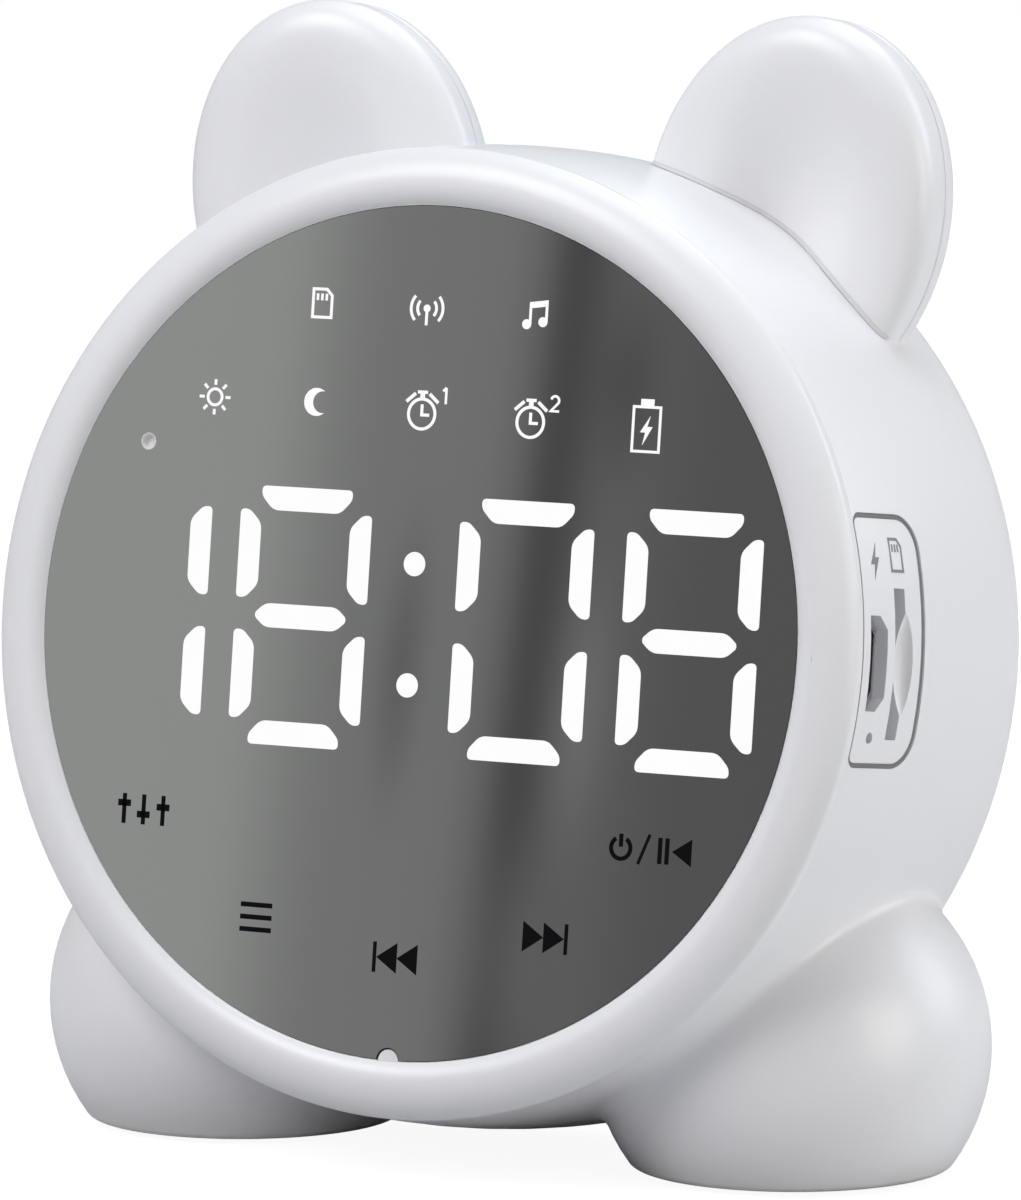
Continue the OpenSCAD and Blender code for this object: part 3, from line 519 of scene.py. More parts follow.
def ring_profile():
    """(radius, depth) across the ring, from the mirror over the crest to the body's side."""
    outer = side_radius(HOUSING_FRONT)
    edge = np.array([outer - EDGE_ROUND, EDGE_Y])
    rise = EDGE_Y + CREST_H
    face_r = ((edge[0] - CREST_R) ** 2 + rise ** 2 - EDGE_ROUND ** 2) / (2 * (rise - EDGE_ROUND))
    inner, face = np.array([CREST_R, CREST_ROUND - CREST_H]), np.array([CREST_R, face_r - CREST_H])
    start = -math.acos((RING_INNER + HAIR - CREST_R) / CREST_ROUND)
    turn = math.atan2(edge[1] - face[1], edge[0] - face[0])
    rows = [(RING_INNER, y) for y in (RING_END - RING_WALL, *RING_LIP)]
    for centre, radius, a0, a1, steps in (
        (inner, CREST_ROUND, start, -math.pi / 2, 12),
        (face, face_r, -math.pi / 2, turn, 26),
        (edge, EDGE_ROUND, turn, 0, 16),
    ):
        for a in np.linspace(a0, a1, steps):
            rows.append((centre[0] + radius * math.cos(a), centre[1] + radius * math.sin(a)))
    return rows + [(outer, RING_END - HAIR), (outer - HAIR, RING_END), (outer - RING_FOOT, RING_END)]


def ring_grid():
    """The ring's profile turned round the mirror's axis."""
    turns = np.linspace(0, 2 * math.pi, RING_STEPS, endpoint=False)
    points = [(r * math.cos(a), y, r * math.sin(a)) for r, y in ring_profile() for a in turns]
    return np.array(points), sweep_faces(len(points) // RING_STEPS, RING_STEPS)


def ring_faces(corners):
    """Triangles of the CAD ring's rounded front."""
    reach = np.hypot(corners[..., 0], corners[..., 2])
    return ((reach > MIRROR_R - HAIR) & (corners[..., 1] < HOUSING_FRONT + HAIR / 2)).all(axis=1)


# ---------------------------------------------------------------- ears

# An oval outline, taller than wide, that leans outward.
EAR_AT = (23.23, 39.26)
EAR_ALONG, EAR_ACROSS, EAR_LEAN = 17.9, 14.4, 11.2
EAR_POINTS = 176
# Depths of the ear's front, of the edge where its side turns into the brow, and of its back.
EAR_FRONT, EAR_SIDE, EAR_BACK = 19.1, 22.6, 29.0
BROW_W, BROW_POWER, BROW_STEPS = 5.5, 2.6, 34
BOWL_DEEP, BOWL_SHIFT, BOWL_POWER, BOWL_STEPS = 3.0, (-1.2, -1.9), 1.5, 34
HEEL_R, HEEL_STEPS = 4.0, 18
BROW_SLOPE, BROW_TIP = 0.1, 57.0
# Half the seam between the shells, its chamfer, how far it is followed inward, and the
# points before and behind the chamfer's outer corner that keep the corner crisp.
SEAM_HALF, SEAM_CHAMFER, SEAM_INWARD = 0.035, 0.14, 1.2
CORNER_BEFORE, CORNER_BEHIND = 0.03, 0.05
# Deeper in the body than this, nothing of an ear is made.
BURIED = 1.3
# All that stands out of the body above this height belongs to the ears.
EARS_ABOVE = 10.0


def ear_ring(inset):
    """Points round an ear's oval outline, moved inward."""
    t = np.linspace(0, 2 * math.pi, EAR_POINTS, endpoint=False)
    lean = math.radians(EAR_LEAN)
    along = np.array([math.sin(lean), math.cos(lean)])
    across = np.array([math.cos(lean), -math.sin(lean)])
    flat = EAR_ALONG * np.outer(np.cos(t), along) + EAR_ACROSS * np.outer(np.sin(t), across)
    normal = np.outer(np.cos(t) / EAR_ALONG, along) + np.outer(np.sin(t) / EAR_ACROSS, across)
    normal /= np.linalg.norm(normal, axis=1, keepdims=True)
    return np.array(EAR_AT) + flat - inset * normal


def seam_rows(way):
    """The narrow chamfer beside the seam, in front of it for -1 and behind it for 1."""
    y = PARTING_Y + way * SEAM_HALF
    end = y + way * SEAM_CHAMFER
    return [(SEAM_INWARD, y, 1), (SEAM_CHAMFER, y, 1),
            (CORNER_BEFORE, end - CORNER_BEFORE * way, 1), (0, end + CORNER_BEHIND * way, 1)]


def brow_rows():
    """(inset, depth, scale) of each row, from an ear's side over the brow into the bowl."""
    rows = []
    for t in np.linspace(0, math.pi / 2, BROW_STEPS):
        across = math.cos(t) ** (2 / BROW_POWER)
        rise = math.sin(t) ** (2 / BROW_POWER)
        rows.append((BROW_W * (1 - across), EAR_SIDE - (EAR_SIDE - EAR_FRONT) * rise, 1))
    for t in np.linspace(0, 1, BOWL_STEPS)[1:]:
        rows.append((BROW_W, EAR_FRONT + BOWL_DEEP * (1 - math.cos(math.pi * t)) / 2, 1 - t))
    return rows


def heel_rows():
    """(inset, depth, scale) of each row, from an ear's side round its back."""
    rows = []
    for a in np.linspace(0, math.pi / 2, HEEL_STEPS):
        rows.append((HEEL_R * (1 - math.cos(a)), EAR_BACK - HEEL_R + HEEL_R * math.sin(a), 1))
    return rows + [(HEEL_R, EAR_BACK, scale) for scale in (0.8, 0.6, 0.4, 0.2, 0.0)]


def ear_points(rows, side, front):
    """The points of an ear's rows, left for side -1 and right for 1.

    The brow of the front half stands back a little towards the head, and its bowl is
    deepest somewhat nearer to the head than the oval's own middle.
    """
    centre, shift = np.array(EAR_AT), np.array(BOWL_SHIFT)
    points = []
    for inset, depth, scale in rows:
        flat = ear_ring(inset)
        if scale < 1:
            flat = centre + (flat - centre) * scale
        y = np.full(len(flat), depth)
        if front:
            flat = flat + shift * (1 - scale) ** BOWL_POWER
            rise = (PARTING_Y - depth) / (PARTING_Y - EAR_FRONT)
            y += BROW_SLOPE * (BROW_TIP - np.hypot(flat[:, 0], flat[:, 1])) * max(0.0, rise)
        points.append(np.column_stack([side * flat[:, 0], y, flat[:, 1]]))
    return np.array(points)


def ear_grid(side, front):
    """One half of an ear as a grid, without what lies deep inside the body."""
    rows = seam_rows(-1) + brow_rows() if front else seam_rows(1) + heel_rows()
    points = ear_points(rows, side, front).reshape(-1, 3)
    faces = np.array(sweep_faces(len(rows), EAR_POINTS))
    tip = (len(rows) - 1) * EAR_POINTS
    faces[faces > tip] = tip
    if front == (side > 0):
        faces = faces[:, ::-1]
    reach = np.hypot(points[:, 0], points[:, 2])
    buried = (reach < side_radius(points[:, 1]) - BURIED)[faces].all(axis=1)
    return points, faces[~buried].tolist()


def ear_faces(corners):
    """Triangles of the CAD ears: those with a corner outside the body's own surface."""
    reach = np.hypot(corners[..., 0], corners[..., 2])
    outside = reach > side_radius(corners[..., 1]) + HAIR
    return (outside & (corners[..., 2] > EARS_ABOVE)).any(axis=1)


# Depths, and angles round the body, that the CAD ears cover.
PATCH_FRONT, PATCH_BACK, PATCH_ANGLES = 15.5, 30.6, (34, 86)
PATCH_ROWS, PATCH_COLUMNS = 14, 53


def brow_patch(y0, y1, side):
    """The body's own side under an ear, where the CAD ear has left a gap."""
    angles = np.radians(np.linspace(*PATCH_ANGLES, PATCH_COLUMNS))
    points = []
    for y in np.linspace(y0, y1, PATCH_ROWS):
        r = side_radius(y) - HAIR
        points += [(side * r * math.cos(a), y, r * math.sin(a)) for a in angles]
    faces = np.array(sweep_faces(PATCH_ROWS, PATCH_COLUMNS, closed=False))
    if side > 0:
        faces = faces[:, ::-1]
    return np.array(points), faces.tolist()


# The darker strip along each ear's foot paints the shade in the crease there: its width, how far it stands
# off the surfaces, and its steps along the foot.
CREASE_W, CREASE_LIFT, CREASE_STEPS = 0.36, 0.03, 120
# The first rows of the brow run down the ear's side, where no crease shows.
CREASE_FROM = 2


def foot_line(points, level):
    """Polar angle and depth, in order, where an ear's front stands a height above the body."""
    above = np.hypot(points[..., 0], points[..., 2]) - side_radius(points[..., 1]) - level
    found = []
    for a, b, pa, pb in (
        (above[:-1], above[1:], points[:-1], points[1:]),
        (above, np.roll(above, -1, axis=1), points, np.roll(points, -1, axis=1)),
    ):
        cross = (a > 0) != (b > 0)
        share = (a[cross] / (a[cross] - b[cross]))[:, None]
        found.append(pa[cross] + share * (pb[cross] - pa[cross]))
    found = np.concatenate(found)
    angles = np.arctan2(found[:, 2], found[:, 0])
    order = np.argsort(angles)
    return angles[order], found[order, 1]


def ear_crease_shade(side):
    """A narrow darker strip along an ear's foot, where its bowl meets the body: painted shade in the crease
    there.
    """
    points = ear_points(brow_rows()[CREASE_FROM:], 1, True)
    low, high = foot_line(points, 0.0), foot_line(points, CREASE_W)
    first, last = max(low[0][0], high[0][0]), min(low[0][-1], high[0][-1])
    strip = []
    for a in np.linspace(first, last, CREASE_STEPS):
        for line, forward, outward in ((low, CREASE_W, CREASE_LIFT), (high, CREASE_LIFT, CREASE_W)):
            y = float(np.interp(a, *line)) - forward
            r = side_radius(y) + outward
            strip.append((side * r * math.cos(a), y, r * math.sin(a)))
    faces = sweep_faces(CREASE_STEPS, 2, closed=False)
    return strip, [f[::-1] for f in faces] if side < 0 else faces


# ---------------------------------------------------------------- fillets of the feet

FILLET_R, FILLET_STEPS = 1.3, 14
# How far the strip's rims run under the surfaces, and how far its edges stand above them.
FILLET_TUCK, FILLET_LIFT = 0.12, 0.006
# Length of the body's outline that is searched, its samples, how often an end is halved
# into place, and the steps along half the path.
PATH_REACH, PATH_SAMPLES, PATH_HALVINGS, PATH_STEPS = 62.0, 400, 60, 90


def clamped_acos(value):
    """Arc cosine, also where rounding has left the value just past 1."""
    return math.acos(max(-1.0, min(1.0, value)))


def ball_at(s):
    """(radius, depth) of the ball that touches the body at s, and the body's normal there."""
    (r, y), (nr, ny) = body_profile(s)
    return (r + FILLET_R * nr, y + FILLET_R * ny), (nr, ny)


def ball_turn(s):
    """Cosine of the ball's angle round the body from the foot. Over 1 it can't touch both."""
    (r, y), _ = ball_at(s)
    near = (FOOT_R + FILLET_R) ** 2 - (y - FOOT_Y) ** 2
    return (r ** 2 + FOOT_REACH ** 2 - near) / (2 * r * FOOT_REACH)


def path_end(lo, hi):
    """The place between lo and hi where the ball begins or ceases to touch both."""
    for _ in range(PATH_HALVINGS):
        mid = (lo + hi) / 2
        if (ball_turn(lo) < 1) == (ball_turn(mid) < 1):
            lo = mid
        else:
            hi = mid
    return (lo + hi) / 2


def ball_path():
    """(s, sign) of the ball's way round the foot: up one side of it and down the other."""
    samples = np.linspace(0, PATH_REACH, PATH_SAMPLES)
    inside = [s for s in samples if ball_turn(s) < 1]
    step = samples[1]
    start = path_end(max(inside[0] - step, 0), inside[0])
    end = path_end(inside[-1], inside[-1] + step)
    shares = [(1 - math.cos(math.pi * k / PATH_STEPS)) / 2 for k in range(PATH_STEPS + 1)]
    path = [(start + (end - start) * share, 1) for share in shares]
    return path + [(s, -1) for s, _ in reversed(path[1:-1])]


def foot_blend(side):
    """Strip left by a ball that rolls round the foot, touching both the foot and the body."""
    turn = math.radians(FOOT_ANGLE)
    foot = np.array([FOOT_REACH * math.cos(turn), FOOT_Y, -FOOT_REACH * math.sin(turn)])
    path = ball_path()
    points = []
    for s, sign in path:
        (r, y), (nr, ny) = ball_at(s)
        a = clamped_acos(ball_turn(s)) * sign - turn
        c, d = math.cos(a), math.sin(a)
        ball = np.array([r * c, y, r * d])
        to_body = -np.array([nr * c, ny, nr * d])
        to_foot = (foot - ball) / np.linalg.norm(foot - ball)
        angle = clamped_acos(float(to_body @ to_foot))
        points.append(ball + (FILLET_R + FILLET_TUCK) * to_body)
        for k in range(FILLET_STEPS + 1):
            t = k / FILLET_STEPS
            way = (math.sin((1 - t) * angle) * to_body + math.sin(t * angle) * to_foot) / math.sin(angle)
            points.append(ball + (FILLET_R + (FILLET_LIFT if k in (0, FILLET_STEPS) else 0)) * way)
        points.append(ball + (FILLET_R + FILLET_TUCK) * to_foot)
    points = np.array(points)
    points[:, 0] *= side
    width, count = FILLET_STEPS + 3, len(path)
    faces = []
    for i in range(count):
        here, there = i * width, (i + 1) % count * width
        faces += [(here + j, here + j + 1, there + j + 1, there + j) for j in range(width - 1)]
    return points, [f[::-1] for f in faces] if side > 0 else faces


# ---------------------------------------------------------------- flat shapes
# A shape is a list of (x, z) points round an outline. Signs are drawn round their own
# middle, in millimetres, and moved() puts them in their places.

PLATE_FRONT, PLATE_BACK = -0.035, 0.01
INK_FRONT = -0.03
# A mitre grows no longer than this cosine allows, and a rounding takes up at most this
# share of each side.
MITRE_LIMIT, ROUND_SHARE = 0.45, 0.49


def arc(x, z, r, a0, a1, steps=24):
    """Points along an arc, angles in degrees."""
    return [(x + r * math.cos(math.radians(a)), z + r * math.sin(math.radians(a)))
            for a in np.linspace(a0, a1, steps)]


def disc(x, z, r, steps=40):
    """A full circle as one shape."""
    a = np.linspace(0, 2 * math.pi, steps, endpoint=False)
    return [(x + r * math.cos(t), z + r * math.sin(t)) for t in a]


def box_shape(x0, z0, x1, z1):
    """A rectangle between two corners."""
    return [(x0, z0), (x1, z0), (x1, z1), (x0, z1)]


def stroke(points, width, closed=False):
    """Quads along a line of points, mitred at the corners, and closed if asked."""
    p = np.array(points, float)
    n = len(p)
    left, right = [], []
    for i in range(n):
        before = p[i] - p[i - 1] if (closed or i > 0) else p[1] - p[0]
        after = p[(i + 1) % n] - p[i] if (closed or i < n - 1) else p[i] - p[i - 1]
        before, after = before / np.linalg.norm(before), after / np.linalg.norm(after)
        bisector = before + after
        bisector /= np.linalg.norm(bisector)
        across = np.array([-bisector[1], bisector[0]])
        grow = width / 2 / max(MITRE_LIMIT, float(across @ np.array([-before[1], before[0]])))
        left.append(p[i] + grow * across)
        right.append(p[i] - grow * across)
    quads = []
    for i in range(n if closed else n - 1):
        j = (i + 1) % n
        quads.append([tuple(c) for c in (left[i], right[i], right[j], left[j])])
    return quads


def hoop(x, z, r, width, steps=48):
    """The outline of a circle."""
    return stroke(arc(x, z, r, 0, 360 * (1 - 1 / steps), steps), width, closed=True)


def round_corners(shape, radius, steps=5):
    """The shape with each corner replaced by a small curve."""
    p = np.array(shape, float)
    n, out = len(p), []
    for i in range(n):
        before, after = p[i - 1] - p[i], p[(i + 1) % n] - p[i]
        lb, la = np.linalg.norm(before), np.linalg.norm(after)
        cut = min(radius, lb * ROUND_SHARE, la * ROUND_SHARE)
        a, b = p[i] + before / lb * cut, p[i] + after / la * cut
        for k in range(steps + 1):
            t = k / steps
            out.append(tuple((1 - t) ** 2 * a + 2 * t * (1 - t) * p[i] + t * t * b))
    return out


def moved(shapes, x, z, wide=1.0, high=1.0):
    """Shapes stretched about their own middle, or flipped, and put in a place."""
    return [[(x + wide * a, z + high * b) for a, b in shape] for shape in shapes]


def area_of(shape):
    """Signed area, positive for a shape drawn counter-clockwise."""
    x, z = np.array(shape).T
    return 0.5 * float(np.sum(x * np.roll(z, -1) - np.roll(x, -1) * z))


def on_mirror(x, z, depth):
    """The place() of shapes that lie on the mirror's front."""
    return (x, depth, z)


def plates(name, shapes, material, slot, place=on_mirror, front=PLATE_FRONT):
    """Thin plates of flat shapes on the mirror, or where place() puts them."""
    points, faces = [], []
    for shape in shapes:
        if area_of(shape) < 0:
            shape = shape[::-1]
        start, n = len(points), len(shape)
        points += [place(x, z, depth) for depth in (front, PLATE_BACK) for x, z in shape]
        faces.append([start + i for i in range(n)])
        faces.append([start + n + i for i in reversed(range(n))])
        for i in range(n):
            j = (i + 1) % n
            faces.append((start + i, start + n + i, start + n + j, start + j))
    add_piece(name, points, faces, material, slot, smooth=False)


# ---------------------------------------------------------------- the time

BAR_W, BAR_SOFT = 2.15, 0.6
UPRIGHT_LEN, FLAT_LEN = 7.9, 9.2
# Shares of the bar's width: its slanted ends, their blunt outer part and a point's length.
BAR_SLANT, BAR_BLUNT, BAR_POINT, BAR_TIP = 0.56, 0.42, 0.46, 0.2
ROWS = {"top": 11.19, "high": 6.16, "middle": 0.74, "low": -4.59, "bottom": -9.71}
UPRIGHT_ROWS = (ROWS["high"], ROWS["low"])
# The bar of the leading 1, and the left and right bars of each full digit.
ONE_X = -22.24
EIGHT_X, ZERO_X, LAST_EIGHT_X = (-17.15, -5.93), (5.11, 16.35), (21.76, 32.99)
COLON_X, COLON_ROWS = -0.3, (6.11, -4.64)


def segment(x, z, length, upright, inner):
    """A bar of a digit. inner is the sign of the side that faces the digit's middle, where
    the bar is shorter, and 0 for the middle bar, which is pointed at both ends."""
    h, w = length / 2, BAR_W / 2
    if inner == 0:
        neck, tip = h - BAR_W * BAR_POINT, BAR_TIP * w
        shape = [(-neck, -w), (neck, -w), (h, -tip), (h, tip),
                 (neck, w), (-neck, w), (-h, tip), (-h, -tip)]
    else:
        slant, blunt = h - BAR_W * BAR_SLANT, -w + BAR_W * BAR_BLUNT
        shape = [(-h, -w), (h, -w), (h, blunt), (slant, w), (-slant, w), (-h, blunt)]
    shape = round_corners(shape, BAR_SOFT)
    if inner < 0:
        shape = [(a, -b) for a, b in shape]
    if upright:
        shape = [(b, a) for a, b in shape]
    return [(x + a, z + b) for a, b in shape]


def digit_shapes():
    """The bars of 18:08 that are lit, and the colon."""
    shapes = []
    for (left, right), middle_lit in ((EIGHT_X, True), (ZERO_X, False), (LAST_EIGHT_X, True)):
        mid = (left + right) / 2
        for z in UPRIGHT_ROWS:
            shapes.append(segment(left, z, UPRIGHT_LEN, True, 1))
            shapes.append(segment(right, z, UPRIGHT_LEN, True, -1))
        shapes.append(segment(mid, ROWS["top"], FLAT_LEN, False, -1))
        shapes.append(segment(mid, ROWS["bottom"], FLAT_LEN, False, 1))
        if middle_lit:
            shapes.append(segment(mid, ROWS["middle"], FLAT_LEN, False, 0))
    shapes += [segment(ONE_X, z, UPRIGHT_LEN, True, -1) for z in UPRIGHT_ROWS]
    return shapes + [disc(COLON_X, z, BAR_W / 2) for z in COLON_ROWS]


# ---------------------------------------------------------------- signs

LINE, FINE_LINE, BOLD_LINE = 0.26, 0.24, 0.4
BATTERY_BOLT = [(0.45, 1.25), (-0.75, -0.45), (-0.1, -0.45), (-0.4, -1.75), (0.75, 0.15), (0.1, 0.15)]
PORT_BOLT = [(0.45, 1.4), (-0.8, -0.25), (-0.05, -0.25), (-0.4, -1.4), (0.8, 0.3), (0.08, 0.3)]


def number_shapes(digit, h, w):
    """A small 1 or 2."""
    if digit == 1:
        return stroke([(-0.22 * h, 0.28 * h), (0, h / 2)], w) + stroke([(0, h / 2), (0, -h / 2)], w)
    foot = -h / 2 + w / 2
    return stroke(arc(0, 0.22 * h, 0.27 * h, 165, -35, 12) + [(-0.27 * h, foot), (0.3 * h, foot)], w)


def alarm_shapes(number):
    """A pocket alarm clock with a knob, two bells and its hands, and its small number."""
    w = 0.27
    shapes = hoop(0, -0.3, 1.33, w) + [box_shape(-0.22, 1.1, 0.22, 1.5), box_shape(-0.5, 1.5, 0.5, 1.78)]
    for side in (-1, 1):
        shapes += stroke([(side * 0.7, 1.5), (side * 1.6, 0.75)], 0.3)
    shapes += stroke([(0, 0.55), (0, -0.38), (0.75, -0.38)], w)
    return shapes + moved(number_shapes(number, 1.45, 0.22), 2.35, 1.4)


def battery_shapes():
    """A standing battery with a bolt in it."""
    h, low, high = 1.32, -2.4, 1.5
    shapes = stroke([(-h, low), (h, low), (h, high), (-h, high)], FINE_LINE, True)
    shapes.append(box_shape(-0.65, high + FINE_LINE / 2, 0.65, 2.2))
    return shapes + moved([BATTERY_BOLT], 0, -0.35, 0.8, 0.85)


def card_shapes(w):
    """A memory card with a clipped corner and three contacts."""
    shapes = stroke([(-0.95, -1.25), (0.95, -1.25), (0.95, 0.7), (0.4, 1.25), (-0.95, 1.25)], w, True)
    return shapes + [box_shape(k - w * 0.45, 0.25, k + w * 0.45, 0.85) for k in (-0.5, -0.05, 0.4)]


def waves_shapes():
    """An aerial with radio waves on both sides."""
    shapes = stroke([(0, -1.25), (0, 0.1)], LINE) + [disc(0, 0.25, 0.34)]
    for r in (0.95, 1.6):
        for a in (0, 180):
            shapes += stroke(arc(0, 0.25, r, a - 42, a + 42, 14), LINE)
    return shapes


def note_shapes():
    """Two notes under one beam."""
    shapes = [disc(-0.75, -0.85, 0.44), disc(0.85, -0.6, 0.44)]
    shapes += stroke([(-0.42, -0.85), (-0.42, 1.05)], FINE_LINE)
    shapes += stroke([(1.18, -0.6), (1.18, 1.3)], FINE_LINE)
    return shapes + [[(-0.54, 0.55), (1.3, 0.8), (1.3, 1.35), (-0.54, 1.1)]]


def sun_shapes():
    """A sun with eight rays."""
    shapes = hoop(0, 0, 0.72, LINE)
    for k in range(8):
        c, s = math.cos(math.radians(45 * k)), math.sin(math.radians(45 * k))
        shapes += stroke([(1.08 * c, 1.08 * s), (1.58 * c, 1.58 * s)], LINE)
    return shapes


def moon_shapes():
    """A crescent, as quads between its outer and its inner arc."""
    horn, shift, outer_last, inner_last = 50, 0.62, 39, 29
    outer = arc(0, 0, 1.25, horn, 360 - horn, outer_last + 1)
    x, z = outer[0][0] - shift, outer[0][1]
    a = math.degrees(math.atan2(z, x))
    inner = arc(shift, 0, math.hypot(x, z), 360 - a, a, inner_last + 1)
    quads = []
    for i in range(inner_last):
        j0, j1 = (round(k * outer_last / inner_last) for k in (i, i + 1))
        quads.append([outer[j0], outer[j1], inner[inner_last - 1 - i], inner[inner_last - i]])
    return quads


def skip_shapes():
    """Two triangles and a bar: next, or previous where it is flipped."""
    h, run = 1.35, 2.05
    shapes = [[(k, -h), (k + run, 0), (k, h)] for k in (-run, 0.0)]
    return shapes + stroke([(run + 0.2, -h), (run + 0.2, h)], 0.34)


def power_play_shapes():
    """On, a slash, pause and play."""
    shapes = stroke(arc(-3.1, 0, 0.95, 122, 418, 30), 0.38)
    shapes += stroke([(-3.1, 0.1), (-3.1, 1.25)], 0.38)
    shapes += stroke([(-1.35, -1.3), (-0.3, 1.35)], 0.28)
    for k in (0.75, 1.45):
        shapes += stroke([(k, -1.15), (k, 1.15)], BOLD_LINE)
    return shapes + [[(1.95, 0), (3.85, 1.2), (3.85, -1.2)]]


def sliders_shapes():
    """Three sliders at different heights, for settings."""
    shapes = []
    for k, knob in ((-2.0, 0.5), (0.0, -0.45), (2.0, 0.3)):
        shapes += stroke([(k, -1.35), (k, 1.35)], BOLD_LINE)
        shapes += [box_shape(k - 0.65, knob - 0.3, k + 0.65, knob + 0.3)]
    return shapes


def menu_shapes():
    """Three lines, for the menu."""
    return [box_shape(-1.6, k - 0.22, 1.6, k + 0.22) for k in (-1.1, 0.0, 1.1)]


# The middle of each sign on the mirror: the lit ones above the time, the black ones below.
CARD_SIGN_AT, WAVES_AT, NOTE_AT = (-11.2, 28.75), (-0.6, 28.5), (10.2, 28.65)
SUN_AT, MOON_AT, BATTERY_AT = (-21.6, 19.9), (-11.2, 19.95), (21.9, 19.6)
FIRST_ALARM_AT, SECOND_ALARM_AT = (-0.5, 19.7), (10.4, 19.5)
SLIDERS_AT, MENU_AT, POWER_AT = (-26.4, -17.4), (-14.2, -26.2), (25.0, -17.5)
PREVIOUS_AT, NEXT_AT = (0.3, -28.8), (14.8, -25.9)


def display_pieces(lit, black):
    """The lit time and signs, and the black marks that are touched."""
    plates("time_digits", digit_shapes(), lit, "diffuser")
    signs = (
        moved(card_shapes(LINE), *CARD_SIGN_AT) + moved(waves_shapes(), *WAVES_AT)
        + moved(note_shapes(), *NOTE_AT) + moved(sun_shapes(), *SUN_AT)
        + moved(moon_shapes(), *MOON_AT) + moved(alarm_shapes(1), *FIRST_ALARM_AT)
        + moved(alarm_shapes(2), *SECOND_ALARM_AT) + moved(battery_shapes(), *BATTERY_AT)
    )
    plates("lit_pictograms", signs, lit, "diffuser")
    marks = (
        moved(sliders_shapes(), *SLIDERS_AT) + moved(menu_shapes(), *MENU_AT)
        + moved(skip_shapes(), *PREVIOUS_AT, wide=-1) + moved(skip_shapes(), *NEXT_AT)
        + moved(power_play_shapes(), *POWER_AT)
    )
    plates("touch_marks", marks, black, "black_film", front=INK_FRONT)


# ---------------------------------------------------------------- ports and microphone

PANEL_Y, PANEL_Z, PANEL_W, PANEL_H = 2.25, -9.15, 10.5, 22.2
PANEL_FRONT_R, PANEL_REAR_R = 1.2, 3.2
PANEL_SINK = 0.15
# Width of the dark strip that paints the gap's shade in the groove round the panel, and how deep under the
# side it lies.
GAP_W, GAP_SINK = 0.4, 0.22
# Middle of each mark beside the ports, as (depth, height), and how far it is stretched.
BOLT_AT, BOLT_STRETCH = (5.1, 8.9), (0.85, 1.15)
PORT_CARD_AT, PORT_CARD_STRETCH = (8.7, 9.5), (1.0, 1.1)
MIC_REACH, MIC_ANGLE, MIC_STEPS = 32.2, 151.0, 32
# (radius, depth) from the insert's back over its thin lip into its dimple.
MIC_PROFILE = [(0.5, 0.75), (0.6, 0.7), (0.62, 0.03), (0.77, -0.004), (0.76, -0.02), (0.72, -0.02),
               (0.63, 0.01), (0.57, 0.16), (0.46, 0.33), (0.3, 0.45), (0.1, 0.5)]


def on_panel(sink):
    """A place() for shapes drawn as (depth, height) that lie on the clock's right side."""
    def place(y, z, h):
        r = side_radius(y) - sink - h
        return (math.sqrt(r * r - z * z), y, z)
    return place


def panel_outline(inset):
    """The middle line of the groove round the port panel, as (depth, height)."""
    front, rear = PANEL_FRONT_R, PANEL_REAR_R
    y0, y1 = PANEL_Y + front, PANEL_Y + PANEL_W - rear
    z0, z1 = PANEL_Z, PANEL_Z + PANEL_H
    return (arc(y0, z0 + front, front - inset, 180, 270, 9) + arc(y1, z0 + rear, rear - inset, 270, 360, 13)
            + arc(y1, z1 - rear, rear - inset, 0, 90, 13) + arc(y0, z1 - front, front - inset, 90, 180, 9))


def split_long(points, longest=1.0):
    """The closed outline with points added along its long straight stretches."""
    p = np.array(points)
    out = []
    for a, b in zip(p, np.roll(p, -1, axis=0)):
        steps = max(1, math.ceil(np.linalg.norm(b - a) / longest))
        out += [tuple(a + (b - a) * k / steps) for k in range(steps)]
    return out


def port_marks(ink, shade):
    """Moulded marks beside the ports, and a dark strip in the groove round their panel: painted shade of
    the narrow gap.
    """
    marks = moved([PORT_BOLT], *BOLT_AT, *BOLT_STRETCH)
    marks += moved(card_shapes(FINE_LINE), *PORT_CARD_AT, *PORT_CARD_STRETCH)
    plates("port_marks", marks, ink, "white_shell", place=on_panel(PANEL_SINK), front=INK_FRONT)
    gap = stroke(split_long(panel_outline(GAP_W / 2)), GAP_W, closed=True)
    plates("port_gap", gap, shade, "white_shell", place=on_panel(GAP_SINK), front=INK_FRONT)


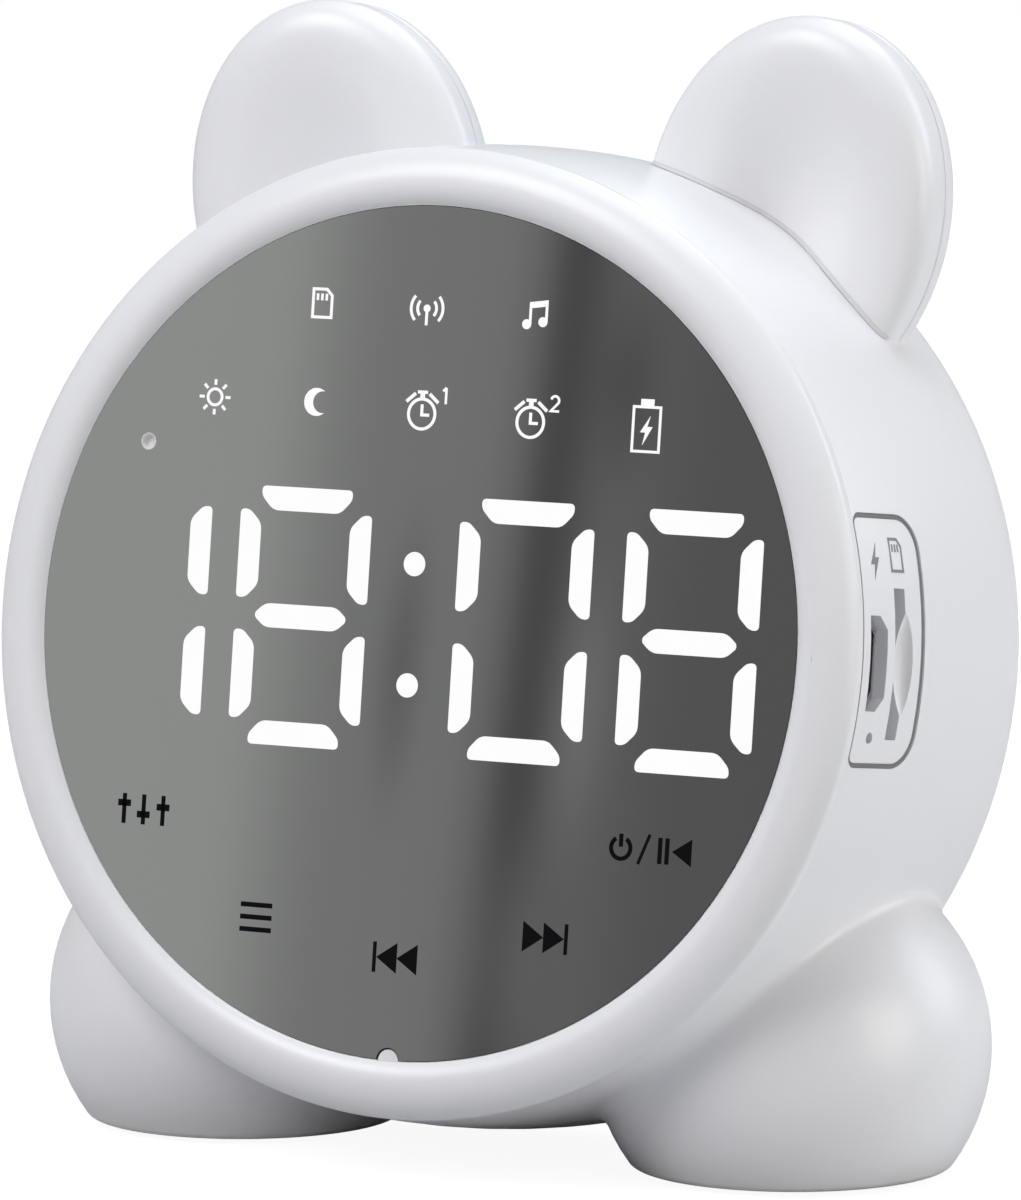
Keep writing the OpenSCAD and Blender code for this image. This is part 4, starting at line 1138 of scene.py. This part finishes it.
def microphone_port(material):
    """A small dished insert in the microphone's hole in the mirror."""
    angle = math.radians(MIC_ANGLE)
    x, z = MIC_REACH * math.cos(angle), MIC_REACH * math.sin(angle)
    turns = np.linspace(0, 2 * math.pi, MIC_STEPS, endpoint=False)
    points = [(x + r * math.cos(a), y, z + r * math.sin(a)) for r, y in MIC_PROFILE for a in turns]
    faces = sweep_faces(len(MIC_PROFILE), MIC_STEPS)
    faces.append([(len(MIC_PROFILE) - 1) * MIC_STEPS + k for k in range(MIC_STEPS)])
    faces.append(list(reversed(range(MIC_STEPS))))
    add_piece("microphone_port", points, faces, material, "light_box")


# ---------------------------------------------------------------- the clock


def dress_nodes(materials):
    """Gives each CAD node the material of its slot."""
    for part in frame["record"]["subparts"]:
        mesh = frame["nodes"][part["node"]].data
        mesh.materials.clear()
        mesh.materials.append(materials[part["material_slot"]])


def shell_pieces(white):
    """The ring and the two shells with their ears, in place of three CAD nodes."""
    sides = (-1, 1)
    front = [ear_grid(side, True) for side in sides]
    front += [brow_patch(PATCH_FRONT, PARTING_Y - SEAM_HALF, side) for side in sides]
    back = [ear_grid(side, False) for side in sides]
    back += [brow_patch(PARTING_Y + SEAM_HALF, PATCH_BACK, side) for side in sides]
    carried_copy("front_bezel", "ring", ring_faces, [ring_grid()], white)
    carried_copy("front_housing", "front_shell", ear_faces, front, white)
    carried_copy("rear_housing", "rear_shell", ear_faces, back, white)


def shell_details(white, crease):
    """The fillets of the feet, and darker strips that paint shade into the creases of the ears."""
    for side, name in ((-1, "left"), (1, "right")):
        add_piece(name + "_foot_fillet", *foot_blend(side), white, "white_shell", sharp=80)
    for side, name in ((-1, "left"), (1, "right")):
        add_piece(name + "_ear_crease_shade", *ear_crease_shade(side), crease, "white_shell")


materials = {name: principled(name, *values) for name, values in MATERIALS.items()}
dress_nodes(materials)
shell_pieces(materials["white_shell"])
shell_details(materials["white_shell"], materials["crease_painted_shade"])
display_pieces(lit_material(), materials["touch_ink"])
port_marks(materials["port_ink"], materials["port_gap"])
microphone_port(materials["microphone_grey"])

bpy.context.scene.view_settings.view_transform = "Standard"
make_camera()
make_world()
make_floor()
make_card()
make_lamps()
